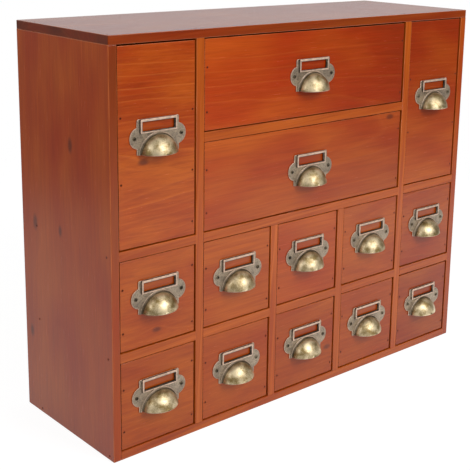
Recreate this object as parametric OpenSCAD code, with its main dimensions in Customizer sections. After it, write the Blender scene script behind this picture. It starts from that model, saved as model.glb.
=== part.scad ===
// Multi-drawer cabinet: a wooden case of fourteen drawers in five columns and four rows.
// The end columns hold a tall drawer over two small ones.
// The three middle columns hold two wide drawers over six small ones.
// Each drawer has one metal pull: a screwed plate with a label frame above a cup for the fingers.
// Millimetres. X runs along the front, Y from the front to the back, Z up.
// The origin is the middle of the base.

/* [Case] */
// Width of one column's opening
opening_w = 94; // [86:1:140]
// Height of one row's opening
opening_h = 95.5; // [82:0.5:140]
// Depth of the case from its front to its back
case_d = 172; // [120:1:300]
// Thickness of the top, bottom and side boards
case_t = 9; // [7:0.5:16]
// Thickness of the shelves and dividers
shelf_t = 10; // [7:0.5:16]
// Thickness of the back panel
panel_t = 3; // [2:0.5:6]
// How far the back panel lies in from the back of the case
panel_recess = 1; // [0.5:0.5:4]
// Width of the rebate that the back panel sits in
rebate_w = 5; // [4:0.5:6]

/* [Drawers] */
// Thickness of a drawer's front board
front_t = 9; // [8:0.5:16]
// Gap round a drawer's front
front_gap = 1; // [0.5:0.1:2]
// How far the drawer fronts lie in from the front of the case
front_recess = 1; // [0:0.5:4]
// Thickness of a drawer's side boards and back board
side_t = 8; // [5:0.5:12]
// Thickness of a drawer's bottom
bottom_t = 4; // [2.5:0.5:8]
// Open height between a drawer's sides and the board above it
headroom = 15.2; // [4:0.2:30]
// Running gap under a drawer
runner_gap = 0.3; // [0.1:0.1:0.5]
// Gap between a closed drawer and the back panel
rear_gap = 0.5; // [0.3:0.1:3]

/* [Pull] */
// Width of the plate between its ears
plate_w = 50; // [44:1:60]
// Height of the plate above the screws
plate_rise = 18.5; // [17:0.5:24]
// Depth of the plate below the screws
plate_drop = 16.5; // [14:0.5:22]
// Thickness of the plate
plate_t = 1.2; // [0.8:0.1:2]
// Radius of the plate's top corners
plate_corner_r = 2; // [0.5:0.5:5]
// Distance between the two screws
screw_spacing = 56; // [50:1:62]
// Radius of the ears that hold the screws
ear_r = 10.6; // [7:0.2:12]
// Distance from a screw to the outer edge of its ear
ear_margin = 5.5; // [4:0.5:7]
// Width of the label frame's window
window_w = 39.4; // [20:0.2:42]
// Height of the label frame's window
window_h = 9.6; // [6:0.2:11]
// Width of the label frame's end bars
frame_end = 2; // [1.5:0.1:3]
// Height of the label frame's top bar
frame_top = 2.7; // [1.5:0.1:4]
// Height of the label frame's bottom bar
frame_bottom = 1.7; // [1.2:0.1:2.5]
// How far the label frame stands out from the drawer's front
frame_reach = 3.2; // [2.8:0.1:4]
// Thickness of the gap that the label card slides into
card_gap = 1; // [0.4:0.1:1.2]
// How far the card reaches behind the frame's bars
card_lap = 1; // [0.4:0.1:1.1]
// Width of the cup across its mouth
cup_w = 45; // [36:0.5:46]
// Height of the cup from its mouth to its crown
cup_h = 20; // [17:0.5:20]
// How far the cup stands out from the drawer's front
cup_reach = 18; // [17:0.5:26]
// Radius of the cup's shoulder, where its wall turns into its crown
shoulder_r = 10; // [6:0.5:11]
// Radius of the cove between the cup's wall and its bead
cove_r = 1.6; // [1:0.1:3]
// Wall of the cup
cup_wall = 1.2; // [0.8:0.1:2]
// Radius of the bead round the cup
bead_r = 0.9; // [0.4:0.1:1.2]
// Height of the pull's screws above the middle of a small drawer's opening
small_pull_rise = 5; // [-10:1:10]
// Height of the pull's screws above the middle of a wide drawer's opening
wide_pull_rise = -2; // [-10:1:10]
// Height of the pull's screws above the middle of a tall drawer's opening
tall_pull_rise = 9; // [-30:1:60]

/* [Fasteners] */
// Diameter of the nails
nail_d = 1.6; // [1:0.1:2.4]
// Diameter of a nail's head
nail_head_d = 2.4; // [1.8:0.1:3]
// Height of a nail's head
nail_head_h = 1; // [0.5:0.1:1.5]
// Length of the nails that hold the case
case_nail_l = 25; // [20:1:32]
// Length of the nails that hold a drawer's front
front_nail_l = 20; // [16:1:30]
// Distance from the end of a drawer's front to its nails
nail_edge = 3.2; // [2.4:0.2:4]
// Depth of a front's upper left nail below the top of its opening
left_nail_top = 30; // [20:1:38]
// Height of a front's lower left nail above the bottom of its opening
left_nail_bottom = 20; // [10:1:36]
// Depth of a front's upper right nail below the top of its opening
right_nail_top = 22; // [20:1:38]
// Height of a front's lower right nail above the bottom of its opening
right_nail_bottom = 12; // [10:1:36]
// Heights of a tall front's left nails above the bottom of its opening
tall_left_nails = [66, 131]; // [10:1:140]
// Heights of a tall front's right nails above the bottom of its opening
tall_right_nails = [15, 69, 131]; // [10:1:140]
// Distance from the case's front to the first nail of a row
nail_front_inset = 8; // [6:1:30]
// Distance from the case's back to the last nail of a row
nail_back_inset = 30; // [16:1:50]
// Diameter of the back panel's pins
pin_d = 1.2; // [0.8:0.1:1.6]
// Diameter of a pin's head
pin_head_d = 2.8; // [2:0.1:3.4]
// Height of a pin's head
pin_head_h = 0.5; // [0.3:0.1:0.5]
// Length of the pins
pin_l = 12; // [8:1:16]
// Diameter of the pull's screws
screw_d = 2.2; // [1.6:0.1:3]
// Diameter of a screw's head
screw_head_d = 4.2; // [3.4:0.1:6]
// Height of a screw's head
screw_head_h = 1.3; // [0.8:0.1:1.8]
// Length of a screw below its head
screw_l = 8; // [5:0.5:8.5]
// Gap at glue lines and round nails and screws
fit_gap = 0.05; // [0.02:0.01:0.1]

/* [Hidden] */
columns = 5;
rows = 4;
case_w = columns * opening_w + (columns - 1) * shelf_t + 2 * case_t;
case_h = rows * opening_h + (rows - 1) * shelf_t + 2 * case_t;
front_y = -case_d / 2;
back_y = case_d / 2;
panel_back_y = back_y - panel_recess;
panel_front_y = panel_back_y - panel_t;
inside_w = case_w - 2 * case_t;
column_pitch = opening_w + shelf_t;
row_pitch = opening_h + shelf_t;
drawer_y = front_y + front_recess;
box_y = drawer_y + front_t;
box_back_y = panel_front_y - rear_gap;

// Each drawer: its name, first column, lowest row, columns wide, rows high. Both count from 0.
DRAWERS = concat(
    [["tall_left", 0, 2, 1, 2], ["tall_right", 4, 2, 1, 2]],
    [["wide_upper", 1, 3, 3, 1], ["wide_lower", 1, 2, 3, 1]],
    [for (c = [0:columns - 1]) [str("upper_", c + 1), c, 1, 1, 1]],
    [for (c = [0:columns - 1]) [str("lower_", c + 1), c, 0, 1, 1]]
);
$fn = 64;

// Colours
stained_pine = "#a44f2a";
raw_pine = "#d9b98a";
antique_brass = "#a5977c";
steel = "#4a4038";

// Left edge of column c, and lower edge of row r, counted from 0 at the left and at the bottom
function column_x(c) = -case_w / 2 + case_t + c * column_pitch;
function row_z(r) = case_t + r * row_pitch;
// Width, height and middle of a drawer's opening
function span_w(d) = d[3] * column_pitch - shelf_t;
function span_h(d) = d[4] * row_pitch - shelf_t;
function middle_x(d) = column_x(d[1]) + span_w(d) / 2;
function middle_z(d) = row_z(d[2]) + span_h(d) / 2;
function pull_rise(d) = d[4] > 1 ? tall_pull_rise : d[3] > 1 ? wide_pull_rise : small_pull_rise;

// Middle of the divider right of column c, and middle of the shelf under row r
function divider_x(c) = column_x(c + 1) - shelf_t / 2;
function shelf_z(r) = row_z(r) - shelf_t / 2;
outer_dividers = [divider_x(0), divider_x(columns - 2)];
inner_dividers = [divider_x(1), divider_x(columns - 3)];

// Box between two corners, given as ranges along X, Y and Z
module slab(x, y, z)
    translate([x[0], y[0], z[0]])
        cube([x[1] - x[0], y[1] - y[0], z[1] - z[0]]);

// Range of a half width or half height about a middle
function about(middle, half) = [middle - half, middle + half];

// Nail whose head is flush with z = 0 and whose point goes down
// With slack it is the nail's hole, which runs out past the surface
module nail(d, length, head_d, head_h, slack = 0) {
    mouth = slack > 0 ? head_h : 0;
    translate([0, 0, -length - slack])
        cylinder(d = d + 2 * slack, h = length + slack);
    translate([0, 0, -head_h - slack])
        cylinder(d = head_d + 2 * slack, h = head_h + slack + mouth);
}

// Places along Y for the nails of one row
nail_rows_y = [front_y + nail_front_inset, back_y - nail_back_inset];

// Every nail of the case: through the sides into the shelves and the bottom, and through the top
module all_case_nails(slack = 0) {
    for (side = [0, 1], y = nail_rows_y, z = [case_t / 2, shelf_z(1), shelf_z(2)])
        mirror([side, 0, 0])
            translate([-case_w / 2, y, z])
                rotate([0, -90, 0])
                    nail(nail_d, case_nail_l, nail_head_d, nail_head_h, slack);
    for (x = concat(outer_dividers, [-case_w / 2 + case_t / 2, case_w / 2 - case_t / 2]), y = nail_rows_y)
        translate([x, y, case_h])
            nail(nail_d, case_nail_l, nail_head_d, nail_head_h, slack);
}

// Every pin of the back panel: round its edge, and into the outer dividers and the middle shelf
module all_back_pins(slack = 0) {
    edge_x = inside_w / 2 + rebate_w / 2;
    low_z = case_t - rebate_w / 2;
    high_z = case_h - low_z;
    middle_xs = [for (c = [0:columns - 1]) column_x(c) + opening_w / 2];
    edge_places = concat(
        [for (x = middle_xs, z = [low_z, high_z]) [x, z]],
        [for (x = [-edge_x, edge_x], r = [0:rows - 1]) [x, row_z(r) + opening_h / 2]],
        [for (x = outer_dividers, r = [1, rows - 1]) [x, row_z(r) + opening_h / 2]],
        [for (c = [1:columns - 2]) [middle_xs[c], shelf_z(2)]]
    );
    for (p = edge_places)
        translate([p[0], panel_back_y, p[1]])
            rotate([-90, 0, 0])
                nail(pin_d, pin_l, pin_head_d, pin_head_h, slack);
}

// Space that the back panel takes in the boards round it, open at the back
module panel_rebate()
    slab(
        [-inside_w / 2 - rebate_w, inside_w / 2 + rebate_w],
        [panel_front_y, back_y + 1],
        [case_t - rebate_w, case_h - case_t + rebate_w]
    );

module top_board()
    color(stained_pine)
        difference() {
            slab([-case_w / 2, case_w / 2], [front_y, back_y], [case_h - case_t, case_h]);
            panel_rebate();
            all_case_nails(fit_gap);
            all_back_pins(fit_gap);
        }

module bottom_board()
    color(stained_pine)
        difference() {
            slab([-inside_w / 2, inside_w / 2], [front_y, back_y], [0, case_t]);
            panel_rebate();
            all_case_nails(fit_gap);
            all_back_pins(fit_gap);
        }

// The sides stand on the floor and run up under the top board
module left_side()
    color(stained_pine)
        difference() {
            slab([-case_w / 2, -inside_w / 2], [front_y, back_y], [0, case_h - case_t]);
            panel_rebate();
            all_case_nails(fit_gap);
            all_back_pins(fit_gap);
        }

module right_side() mirror([1, 0, 0]) left_side();

module back_panel()
    color(raw_pine)
        difference() {
            slab(
                [-inside_w / 2 - rebate_w + fit_gap, inside_w / 2 + rebate_w - fit_gap],
                [panel_front_y, panel_back_y],
                [case_t - rebate_w + fit_gap, case_h - case_t + rebate_w - fit_gap]
            );
            all_back_pins(fit_gap);
        }

// Board standing on edge at x, slotted from the back to its middle where the listed shelves cross it
module divider(x, top_z, crossing)
    color(stained_pine)
        difference() {
            slab([x - shelf_t / 2, x + shelf_t / 2], [front_y, panel_front_y], [case_t, top_z]);
            for (r = crossing)
                slab(
                    [x - shelf_t, x + shelf_t],
                    [(front_y + panel_front_y) / 2, panel_front_y + 1],
                    [row_z(r) - shelf_t, row_z(r)]
                );
            all_case_nails(fit_gap);
            all_back_pins(fit_gap);
        }

// Shelf under row r, slotted from the front to its middle where the listed dividers cross it
module shelf(half_w, r, crossing)
    color(stained_pine)
        difference() {
            slab([-half_w, half_w], [front_y, panel_front_y], [row_z(r) - shelf_t, row_z(r)]);
            for (x = crossing)
                slab(
                    [x - shelf_t / 2, x + shelf_t / 2],
                    [front_y - 1, (front_y + panel_front_y) / 2],
                    [row_z(r) - 2 * shelf_t, row_z(r) + shelf_t]
                );
            all_case_nails(fit_gap);
            all_back_pins(fit_gap);
        }

// The outer dividers run from the bottom board to the top board, through both long shelves
module left_divider() divider(outer_dividers[0], case_h - case_t, [1, 2]);
module right_divider() divider(outer_dividers[1], case_h - case_t, [1, 2]);
// The inner dividers stop under the middle shelf
module inner_left_divider() divider(inner_dividers[0], row_z(2) - shelf_t, [1]);
module inner_right_divider() divider(inner_dividers[1], row_z(2) - shelf_t, [1]);

// The wide shelf parts the two wide drawers and butts against the outer dividers
module wide_shelf() shelf(outer_dividers[1] - shelf_t / 2, 3, []);
module middle_shelf() shelf(inside_w / 2, 2, outer_dividers);
module lower_shelf() shelf(inside_w / 2, 1, concat(outer_dividers, inner_dividers));

module case_nails() color(steel) all_case_nails();
module back_pins() color(steel) all_back_pins();

// Heights of the nails in one end of a drawer's front above the bottom of its opening
function left_nails(d) = d[4] > 1 ? tall_left_nails : [left_nail_bottom, span_h(d) - left_nail_top];
function right_nails(d) = d[4] > 1 ? tall_right_nails : [right_nail_bottom, span_h(d) - right_nail_top];

// The nails in the two ends of a drawer's front, driven into the drawer's side boards
module front_nails(d, slack = 0)
    for (end = [[-1, left_nails(d)], [1, right_nails(d)]], height = end[1])
        translate([
            middle_x(d) + end[0] * (span_w(d) / 2 - front_gap - nail_edge),
            drawer_y,
            row_z(d[2]) + height
        ])
            rotate([90, 0, 0])
                nail(nail_d, front_nail_l, nail_head_d, nail_head_h, slack);

// Moves a pull, drawn about the middle of its screws, to its place on a drawer's front
module at_pull(d)
    translate([middle_x(d), drawer_y, middle_z(d) + pull_rise(d)])
        children();

// One screw, or with slack its pilot hole: the head sits on the plate
module screw(slack = 0) {
    dome_r = (pow(screw_head_d / 2, 2) + pow(screw_head_h, 2)) / (2 * screw_head_h);
    rotate([90, 0, 0])
        translate([0, 0, plate_t + fit_gap]) {
            translate([0, 0, -screw_l - slack])
                cylinder(d = screw_d + 2 * slack, h = screw_l + slack + screw_head_h / 2);
            if (slack == 0)
                intersection() {
                    translate([0, 0, screw_head_h - dome_r])
                        sphere(r = dome_r);
                    cylinder(d = screw_head_d, h = screw_head_h);
                }
        }
}

module both_screws(slack = 0)
    for (side = [-1, 1])
        translate([side * screw_spacing / 2, 0, 0])
            screw(slack);

// Front board with its nails
module drawer_front(d) {
    color(stained_pine)
        difference() {
            slab(
                about(middle_x(d), span_w(d) / 2 - front_gap),
                [drawer_y, box_y],
                about(middle_z(d), span_h(d) / 2 - front_gap)
            );
            front_nails(d, fit_gap);
            at_pull(d) both_screws(fit_gap);
        }
    color(steel)
        front_nails(d);
}

// Two sides, the back and the bottom, glued together and behind the front
module drawer_box(d) {
    half_w = span_w(d) / 2 - front_gap;
    low_z = row_z(d[2]) + runner_gap;
    high_z = row_z(d[2]) + span_h(d) - headroom;
    wall_z = low_z + bottom_t + fit_gap;
    color(raw_pine)
        difference() {
            translate([middle_x(d), 0, 0]) {
                slab([-half_w, half_w], [box_y, box_back_y], [low_z, low_z + bottom_t]);
                for (side = [0, 1])
                    mirror([side, 0, 0])
                        slab([-half_w, -half_w + side_t], [box_y, box_back_y], [wall_z, high_z]);
                slab(
                    [-half_w + side_t + fit_gap, half_w - side_t - fit_gap],
                    [box_back_y - side_t, box_back_y],
                    [wall_z, high_z]
                );
            }
            front_nails(d, fit_gap);
            at_pull(d) both_screws(fit_gap);
        }
}

// Rectangle about x = 0 between two heights, with rounded top corners
module round_top(w, low, high, r) {
    translate([-w / 2, low])
        square([w, high - low - r]);
    translate([-w / 2 + r, low])
        square([w - 2 * r, high - low]);
    for (side = [-1, 1])
        translate([side * (w / 2 - r), high - r])
            circle(r = r);
}

// Outline of the pull's plate: the middle with an ear at each end
module plate_outline() {
    round_top(plate_w, -plate_drop, plate_rise, plate_corner_r);
    for (side = [-1, 1])
        translate([side * (screw_spacing / 2 + ear_margin - ear_r), 0])
            circle(r = ear_r);
}

// Heights of the label frame and of its window
window_high = plate_rise - frame_top;
window_low = window_high - window_h;
frame_low = window_low - frame_bottom;
frame_w = window_w + 2 * frame_end;

// The cup's foot is a circle through the two ends of its mouth and its crown
foot_r = (pow(cup_w / 2, 2) + pow(cup_h, 2)) / (2 * cup_h);
foot_z = cup_h - plate_drop - foot_r;
// The wall stands in from the foot by the cove and turns into the shoulder where the cove ends
bowl_r = foot_r - cove_r;
shoulder_z = plate_t + cove_r;
// The crown is an arc about a point on the cup's axis that runs smoothly into the shoulder's arc
shoulder_x = bowl_r - shoulder_r;
crown_low = (pow(cup_reach - shoulder_r, 2) - pow(shoulder_x, 2) - pow(shoulder_z, 2))
    / (2 * (cup_reach - shoulder_r - shoulder_z));
crown_r = cup_reach - crown_low;

// Half section of the cup, taken in by a distance all round for its hollow
module cup_section(inset = 0) {
    far = 3 * foot_r;
    difference() {
        intersection() {
            square([bowl_r - inset, cup_reach]);
            translate([0, crown_low])
                circle(r = crown_r - inset, $fn = 96);
        }
        difference() {
            polygon([
                [shoulder_x, shoulder_z],
                [shoulder_x + far, shoulder_z],
                [shoulder_x + far, shoulder_z + far],
                [shoulder_x, shoulder_z] + [shoulder_x, shoulder_z - crown_low] * far / shoulder_x
            ]);
            translate([shoulder_x, shoulder_z])
                circle(r = shoulder_r - inset, $fn = 96);
        }
    }
}

// Half section of the cove, which leads from the plate up to the cup's wall
module cove_section()
    difference() {
        square([foot_r, shoulder_z]);
        translate([foot_r, shoulder_z])
            circle(r = cove_r, $fn = 96);
    }

// Turns a half section into a body about the cup's axis, kept above the mouth
module about_cup_axis()
    intersection() {
        translate([0, 0, foot_z])
            rotate([90, 0, 0])
                rotate_extrude($fn = 96)
                    children();
        slab([-foot_r * 2, foot_r * 2], [-2 * cup_reach, 1], [-plate_drop, plate_rise]);
    }

// Plate, label frame, bead, cove and cup in one piece, with the two screws
module pull() {
    color(antique_brass)
        difference() {
            union() {
                rotate([90, 0, 0])
                    linear_extrude(plate_t)
                        plate_outline();
                slab([-frame_w / 2, frame_w / 2], [-frame_reach, 0], [frame_low, plate_rise]);
                about_cup_axis() {
                    cup_section();
                    cove_section();
                }
                about_cup_axis()
                    translate([foot_r + bead_r / 2, plate_t])
                        circle(r = bead_r, $fn = 24);
            }
            about_cup_axis()
                cup_section(cup_wall);
            slab([-window_w / 2, window_w / 2], [-frame_reach - 1, 1], [window_low, window_high]);
            slab(
                [-frame_w, frame_w],
                [-plate_t - card_gap, -plate_t],
                [window_low - card_lap, window_high + card_lap]
            );
            both_screws(fit_gap);
        }
    color(steel)
        both_screws();
}

module drawer_pull(d) at_pull(d) pull();

top_board();
bottom_board();
left_side();
right_side();
back_panel();
left_divider();
right_divider();
inner_left_divider();
inner_right_divider();
wide_shelf();
middle_shelf();
lower_shelf();
case_nails();
back_pins();
for (d = DRAWERS) {
    drawer_front(d);
    drawer_box(d);
    drawer_pull(d);
}
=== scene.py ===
"""Looks of a multi-drawer cabinet: a stained pine case of fourteen drawers with antique-brass cup pulls.

The cabinet's classes hold their sizes in millimetres, and Piece.make turns them into metres in one place.
Studio is in metres. X runs along the front, Y from the front to the back, Z up. The origin is the middle of
the base.
"""

import logging
import math
from collections.abc import Callable, Sequence
from dataclasses import dataclass, field
from enum import Enum
from functools import partial
from itertools import pairwise
from typing import Any

import bmesh
import bpy
import numpy as np
from mathutils import Matrix, Vector
from mathutils.geometry import tessellate_polygon

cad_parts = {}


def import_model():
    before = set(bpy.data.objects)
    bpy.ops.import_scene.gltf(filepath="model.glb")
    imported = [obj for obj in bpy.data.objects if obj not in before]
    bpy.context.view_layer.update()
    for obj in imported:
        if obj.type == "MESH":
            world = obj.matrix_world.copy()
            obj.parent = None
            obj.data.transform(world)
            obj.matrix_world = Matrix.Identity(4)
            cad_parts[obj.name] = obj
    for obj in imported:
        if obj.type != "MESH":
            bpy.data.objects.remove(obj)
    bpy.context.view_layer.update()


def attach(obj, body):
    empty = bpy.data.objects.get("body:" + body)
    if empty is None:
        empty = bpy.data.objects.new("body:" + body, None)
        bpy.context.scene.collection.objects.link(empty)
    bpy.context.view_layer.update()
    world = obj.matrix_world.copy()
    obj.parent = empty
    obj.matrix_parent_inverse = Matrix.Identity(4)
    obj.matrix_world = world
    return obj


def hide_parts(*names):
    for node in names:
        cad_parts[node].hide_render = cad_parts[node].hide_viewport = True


LOG = logging.getLogger("cabinet")
METRES = 0.001
IMAGE_SIDE = 470
WELD_MM = 0.002
WHITE = (1, 1, 1, 1)

Pair = tuple[float, float]
Triple = tuple[float, float, float]


class Plane(Enum):
    """Frames that outlines are drawn in: the world directions of u, v and w, where w points outwards."""

    FRONT = ((1, 0, 0), (0, 0, 1), (0, -1, 0))
    BACK = ((0, 0, 1), (1, 0, 0), (0, 1, 0))
    LEFT = ((0, 0, 1), (0, 1, 0), (-1, 0, 0))
    RIGHT = ((0, 1, 0), (0, 0, 1), (1, 0, 0))
    LEVEL = ((1, 0, 0), (0, 1, 0), (0, 0, 1))


class Grain(Enum):
    """Ways a board is cut: the world axes along the grain, across its face and through its thickness."""

    FRONT_ALONG_X = (0, 2, 1)
    LEVEL_ALONG_X = (0, 1, 2)
    SIDE_ALONG_Z = (2, 1, 0)
    SIDE_ALONG_Y = (1, 2, 0)


def linear(hex_colour: str) -> tuple[float, float, float, float]:
    """Turns an sRGB hex colour into linear RGBA.

    Args:
        hex_colour: the colour, such as #8a4830.

    Returns:
        Its red, green and blue in linear light, and an alpha of 1.
    """
    parts = (int(hex_colour[i : i + 2], 16) / 255 for i in (1, 3, 5))
    red, green, blue = (c / 12.92 if c <= 0.04045 else ((c + 0.055) / 1.055) ** 2.4 for c in parts)
    return red, green, blue, 1.0


def add_node(
    tree: bpy.types.NodeTree, kind: str, *inputs: Any, sockets: dict[str, Any] | None = None, **settings: Any
) -> Any:
    """Adds one node to a tree.

    Args:
        tree: the tree that gets the node.
        kind: the node's type, without the ShaderNode before it.
        inputs: what the sockets in use get, in their order: a value, or the socket or node that each is
            linked from.
        sockets: the same for sockets by name.
        settings: the node's own properties.

    Returns:
        The node.
    """
    node = tree.nodes.new(f"ShaderNode{kind}")
    for name, value in settings.items():
        setattr(node, name, value)
    wanted = list(zip([socket for socket in node.inputs if socket.enabled], inputs))
    wanted += [(node.inputs[name], value) for name, value in (sockets or {}).items()]
    for socket, value in wanted:
        if isinstance(value, bpy.types.Node):
            value = next(output for output in value.outputs if output.enabled)
        if isinstance(value, bpy.types.NodeSocket):
            tree.links.new(value, socket)
        else:
            socket.default_value = value
    return node


def blank_material(name: str) -> tuple[bpy.types.Material, Callable[..., Any]]:
    """Makes a material that has no nodes yet.

    Args:
        name: the material's name.

    Returns:
        The material, and add_node for its tree.
    """
    material = bpy.data.materials.new(name)
    material.use_nodes = True
    material.node_tree.nodes.clear()
    return material, partial(add_node, material.node_tree)


@dataclass(frozen=True)
class Timber:
    """Pine or ply seen as cut wood: growth rings about a pith, fibres, streaks, knots and worn edges.

    It reads what each board carries as attributes: grain is the place along the grain, across it and
    through the board in the log's own millimetres, knots are their place and size, and board is its tone,
    how strongly its rings show and how pale its stain is. The attribute edge is 1 on the eased rims and end
    is 1 on end grain.
    """

    name: str
    early: str
    pale: str
    late: str
    streak: str
    end_grain: str
    worn_edge: str
    ring_mm: float
    line_share: float
    streak_share: float
    roughness: float
    relief_mm: float

    KNOTS = ("knot_a", "knot_b", "knot_c", "knot_d")
    # Each noise: the size of its lumps along, across and through the board in millimetres, and its detail.
    FIBRE = ((55.0, 1.0, 1.0), 3.0)
    STREAK = ((150.0, 3.5, 3.5), 3.0)
    BLOTCH = ((110.0, 45.0, 45.0), 1.0)
    WANDER = ((260.0, 70.0, 70.0), 2.0)
    NOISE_ROUGHNESS = 0.55
    WANDER_REACH_MM = 20.0
    # A knot: its least size, how it is stretched, the distances in knot sizes where its heart begins and is
    # full, how dark the heart is, and how far and how strongly it pushes the rings.
    LEAST_KNOT = 0.001
    KNOT_STRETCH = (0.5, 1.0, 0.0)
    KNOT_HEART = (1.25, 0.35)
    KNOT_DARKNESS = 0.72
    KNOT_SPREAD = 2.4
    KNOT_PUSH = 1.6
    # A ring's line: the parts of the ring over which it rises and falls, how much the lines differ in
    # strength, and the strength of the faintest.
    LINE_RISE = (0.62, 0.93)
    LINE_FALL = (1.0, 0.92)
    LINE_CONTRAST = 2.0
    FAINTEST_LINE = 0.2
    # Ranges: two values of a noise or an attribute, and where they are given what comes out at them.
    STREAK_RANGE = (0.42, 0.68)
    STAIN_CLOUD = (0.3, 0.7, -0.35, 0.35)
    EDGE_RUB = (0.35, 0.6, 0.25, 1.0)
    END_THIRST = (0.35, 0.65, 0.45, 0.95)
    FIBRE_SHADE = (0.25, 0.75, 0.88, 1.08)
    CLOUD_SHADE = (0.3, 0.7, 0.93, 1.07)
    END_DRYNESS = (0.8, 1.0, 0.0, 0.4)
    GLOSS_RANGE = (0.2, 0.8)
    # Share of the streaks that a board with the least figure shows, and how far the roughness strays.
    FAINT_STREAK = 0.4
    UNEVEN_GLOSS = 0.05
    # Height of the fibres beside that of a ring's line, and how strongly both show.
    FIBRE_HEIGHT = 0.6
    RELIEF = 0.6
    SPECULAR = 0.36

    def knots(self, add: Callable[..., Any], log: Any) -> tuple[Any, Any]:
        """Adds up the board's knots.

        A knot is an ellipse twice as long along the grain. Its heart is where the distance is under its
        size, and its push on the rings falls off as one over one plus the square of the distance over the
        spread.

        Args:
            add: the call that adds a node.
            log: the socket with the place in the log.

        Returns:
            The nodes that hold the hearts, from 0 to 1, and the push on the rings in millimetres.
        """
        heart: Any = 0.0
        push: Any = 0.0
        for name in self.KNOTS:
            knot = add("Attribute", attribute_name=name).outputs["Vector"]
            size = add("SeparateXYZ", knot).outputs["Z"]
            some = add("Math", size, self.LEAST_KNOT, operation="MAXIMUM")
            away = add("VectorMath", log, knot, operation="SUBTRACT")
            flat = add("VectorMath", away, self.KNOT_STRETCH, operation="MULTIPLY")
            far = add("VectorMath", flat, operation="LENGTH")
            share = add("Math", far, some, operation="DIVIDE")
            core = add("MapRange", share, *self.KNOT_HEART, interpolation_type="SMOOTHSTEP")
            heart = add("Math", heart, core, operation="MAXIMUM")
            wide = add("Math", share, self.KNOT_SPREAD, operation="DIVIDE")
            squared = add("Math", wide, wide, 1.0, operation="MULTIPLY_ADD")
            force = add("Math", size, squared, operation="DIVIDE")
            push = add("Math", force, self.KNOT_PUSH, push, operation="MULTIPLY_ADD")
        return heart, push

    def rings(self, add: Callable[..., Any], log: Any, wander: Any, push: Any) -> Any:
        """Draws the lines of late wood.

        The distance from the pith, plus a slow wander and the knots' push, is cut into rings. Within a ring
        the line rises softly and ends sharply, and each ring has a strength of its own.

        Args:
            add: the call that adds a node.
            log: the socket with the place in the log.
            wander: the node with the slow noise.
            push: the node with the knots' push in millimetres.

        Returns:
            The node that holds the lines, from 0 to 1.
        """
        section = add("VectorMath", log, (0.0, 1.0, 1.0), operation="MULTIPLY")
        radius = add("VectorMath", section, operation="LENGTH")
        pushed = add("Math", radius, push, operation="ADD")
        moved = add("Math", wander, self.WANDER_REACH_MM, pushed, operation="MULTIPLY_ADD")
        count = add("Math", moved, self.ring_mm, operation="DIVIDE")
        within = add("Math", count, operation="FRACT")
        rise = add("MapRange", within, *self.LINE_RISE, interpolation_type="SMOOTHSTEP")
        fall = add("MapRange", within, *self.LINE_FALL, interpolation_type="SMOOTHSTEP")
        line = add("Math", rise, fall, operation="MULTIPLY")
        number = add("Math", count, operation="FLOOR")
        chance = add("TexWhiteNoise", number, noise_dimensions="1D").outputs["Value"]
        strength = add("Math", chance, self.LINE_CONTRAST, operation="POWER")
        strength = add("MapRange", strength, 0.0, 1.0, self.FAINTEST_LINE, 1.0)
        return add("Math", line, strength, operation="MULTIPLY")

    def material(self) -> bpy.types.Material:
        """Builds the wood. Stain soaks into early wood, so late wood shows as lighter lines.

        Returns:
            The material.
        """
        material, add = blank_material(self.name)
        log, board = (add("Attribute", attribute_name=name).outputs["Vector"] for name in ("grain", "board"))
        edge, end = (add("Attribute", attribute_name=name).outputs["Fac"] for name in ("edge", "end"))
        tone, figure, paleness = add("SeparateXYZ", board).outputs
        noises = []
        for lump_mm, detail in (self.FIBRE, self.STREAK, self.BLOTCH, self.WANDER):
            place = add("VectorMath", log, lump_mm, operation="DIVIDE")
            noises.append(add("TexNoise", place, 1.0, detail, self.NOISE_ROUGHNESS))
        fibre, streak, blotch, wander = noises
        heart, push = self.knots(add, log)
        line = self.rings(add, log, wander, push)

        cloud = add("MapRange", blotch, *self.STAIN_CLOUD)
        stain = add("Math", paleness, cloud, operation="ADD", use_clamp=True)
        streaky = add("MapRange", figure, 0.0, 1.0, self.streak_share * self.FAINT_STREAK, self.streak_share)
        dark = add("MapRange", streak, *self.STREAK_RANGE, 0.0, streaky)
        figured = add("Math", figure, self.line_share, operation="MULTIPLY")
        lined = add("Math", line, figured, operation="MULTIPLY")
        knotted = add("Math", heart, self.KNOT_DARKNESS, operation="MULTIPLY")
        thirst = add("MapRange", blotch, *self.END_THIRST)
        soaked = add("Math", end, thirst, operation="MULTIPLY")
        rubbed = add("MapRange", fibre, *self.EDGE_RUB)
        worn = add("Math", edge, rubbed, operation="MULTIPLY")
        wood: Any = linear(self.early)
        for share, colour in (
            (stain, self.pale),
            (dark, self.streak),
            (lined, self.late),
            (knotted, self.end_grain),
            (soaked, self.end_grain),
            (worn, self.worn_edge),
        ):
            wood = add("Mix", share, wood, linear(colour), data_type="RGBA")
        fibrous = add("MapRange", fibre, *self.FIBRE_SHADE)
        clouded = add("MapRange", blotch, *self.CLOUD_SHADE)
        shade = add("Math", fibrous, clouded, operation="MULTIPLY")
        shade = add("Math", shade, tone, operation="MULTIPLY")
        wood = add("HueSaturation", sockets={"Value": shade, "Color": wood})

        height = add("Math", fibre, self.FIBRE_HEIGHT, line, operation="MULTIPLY_ADD")
        relief = {"Height": height, "Strength": self.RELIEF, "Distance": self.relief_mm * METRES}
        bump = add("Bump", sockets=relief)
        glossy, matt = self.roughness - self.UNEVEN_GLOSS, self.roughness + self.UNEVEN_GLOSS
        rough = add("MapRange", fibre, *self.GLOSS_RANGE, glossy, matt)
        dry = add("MapRange", end, *self.END_DRYNESS)
        rough = add("Math", dry, rough, operation="ADD")
        skin = {"Base Color": wood, "Roughness": rough, "Normal": bump, "Specular IOR Level": self.SPECULAR}
        add("OutputMaterial", add("BsdfPrincipled", sockets=skin))
        return material


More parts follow.
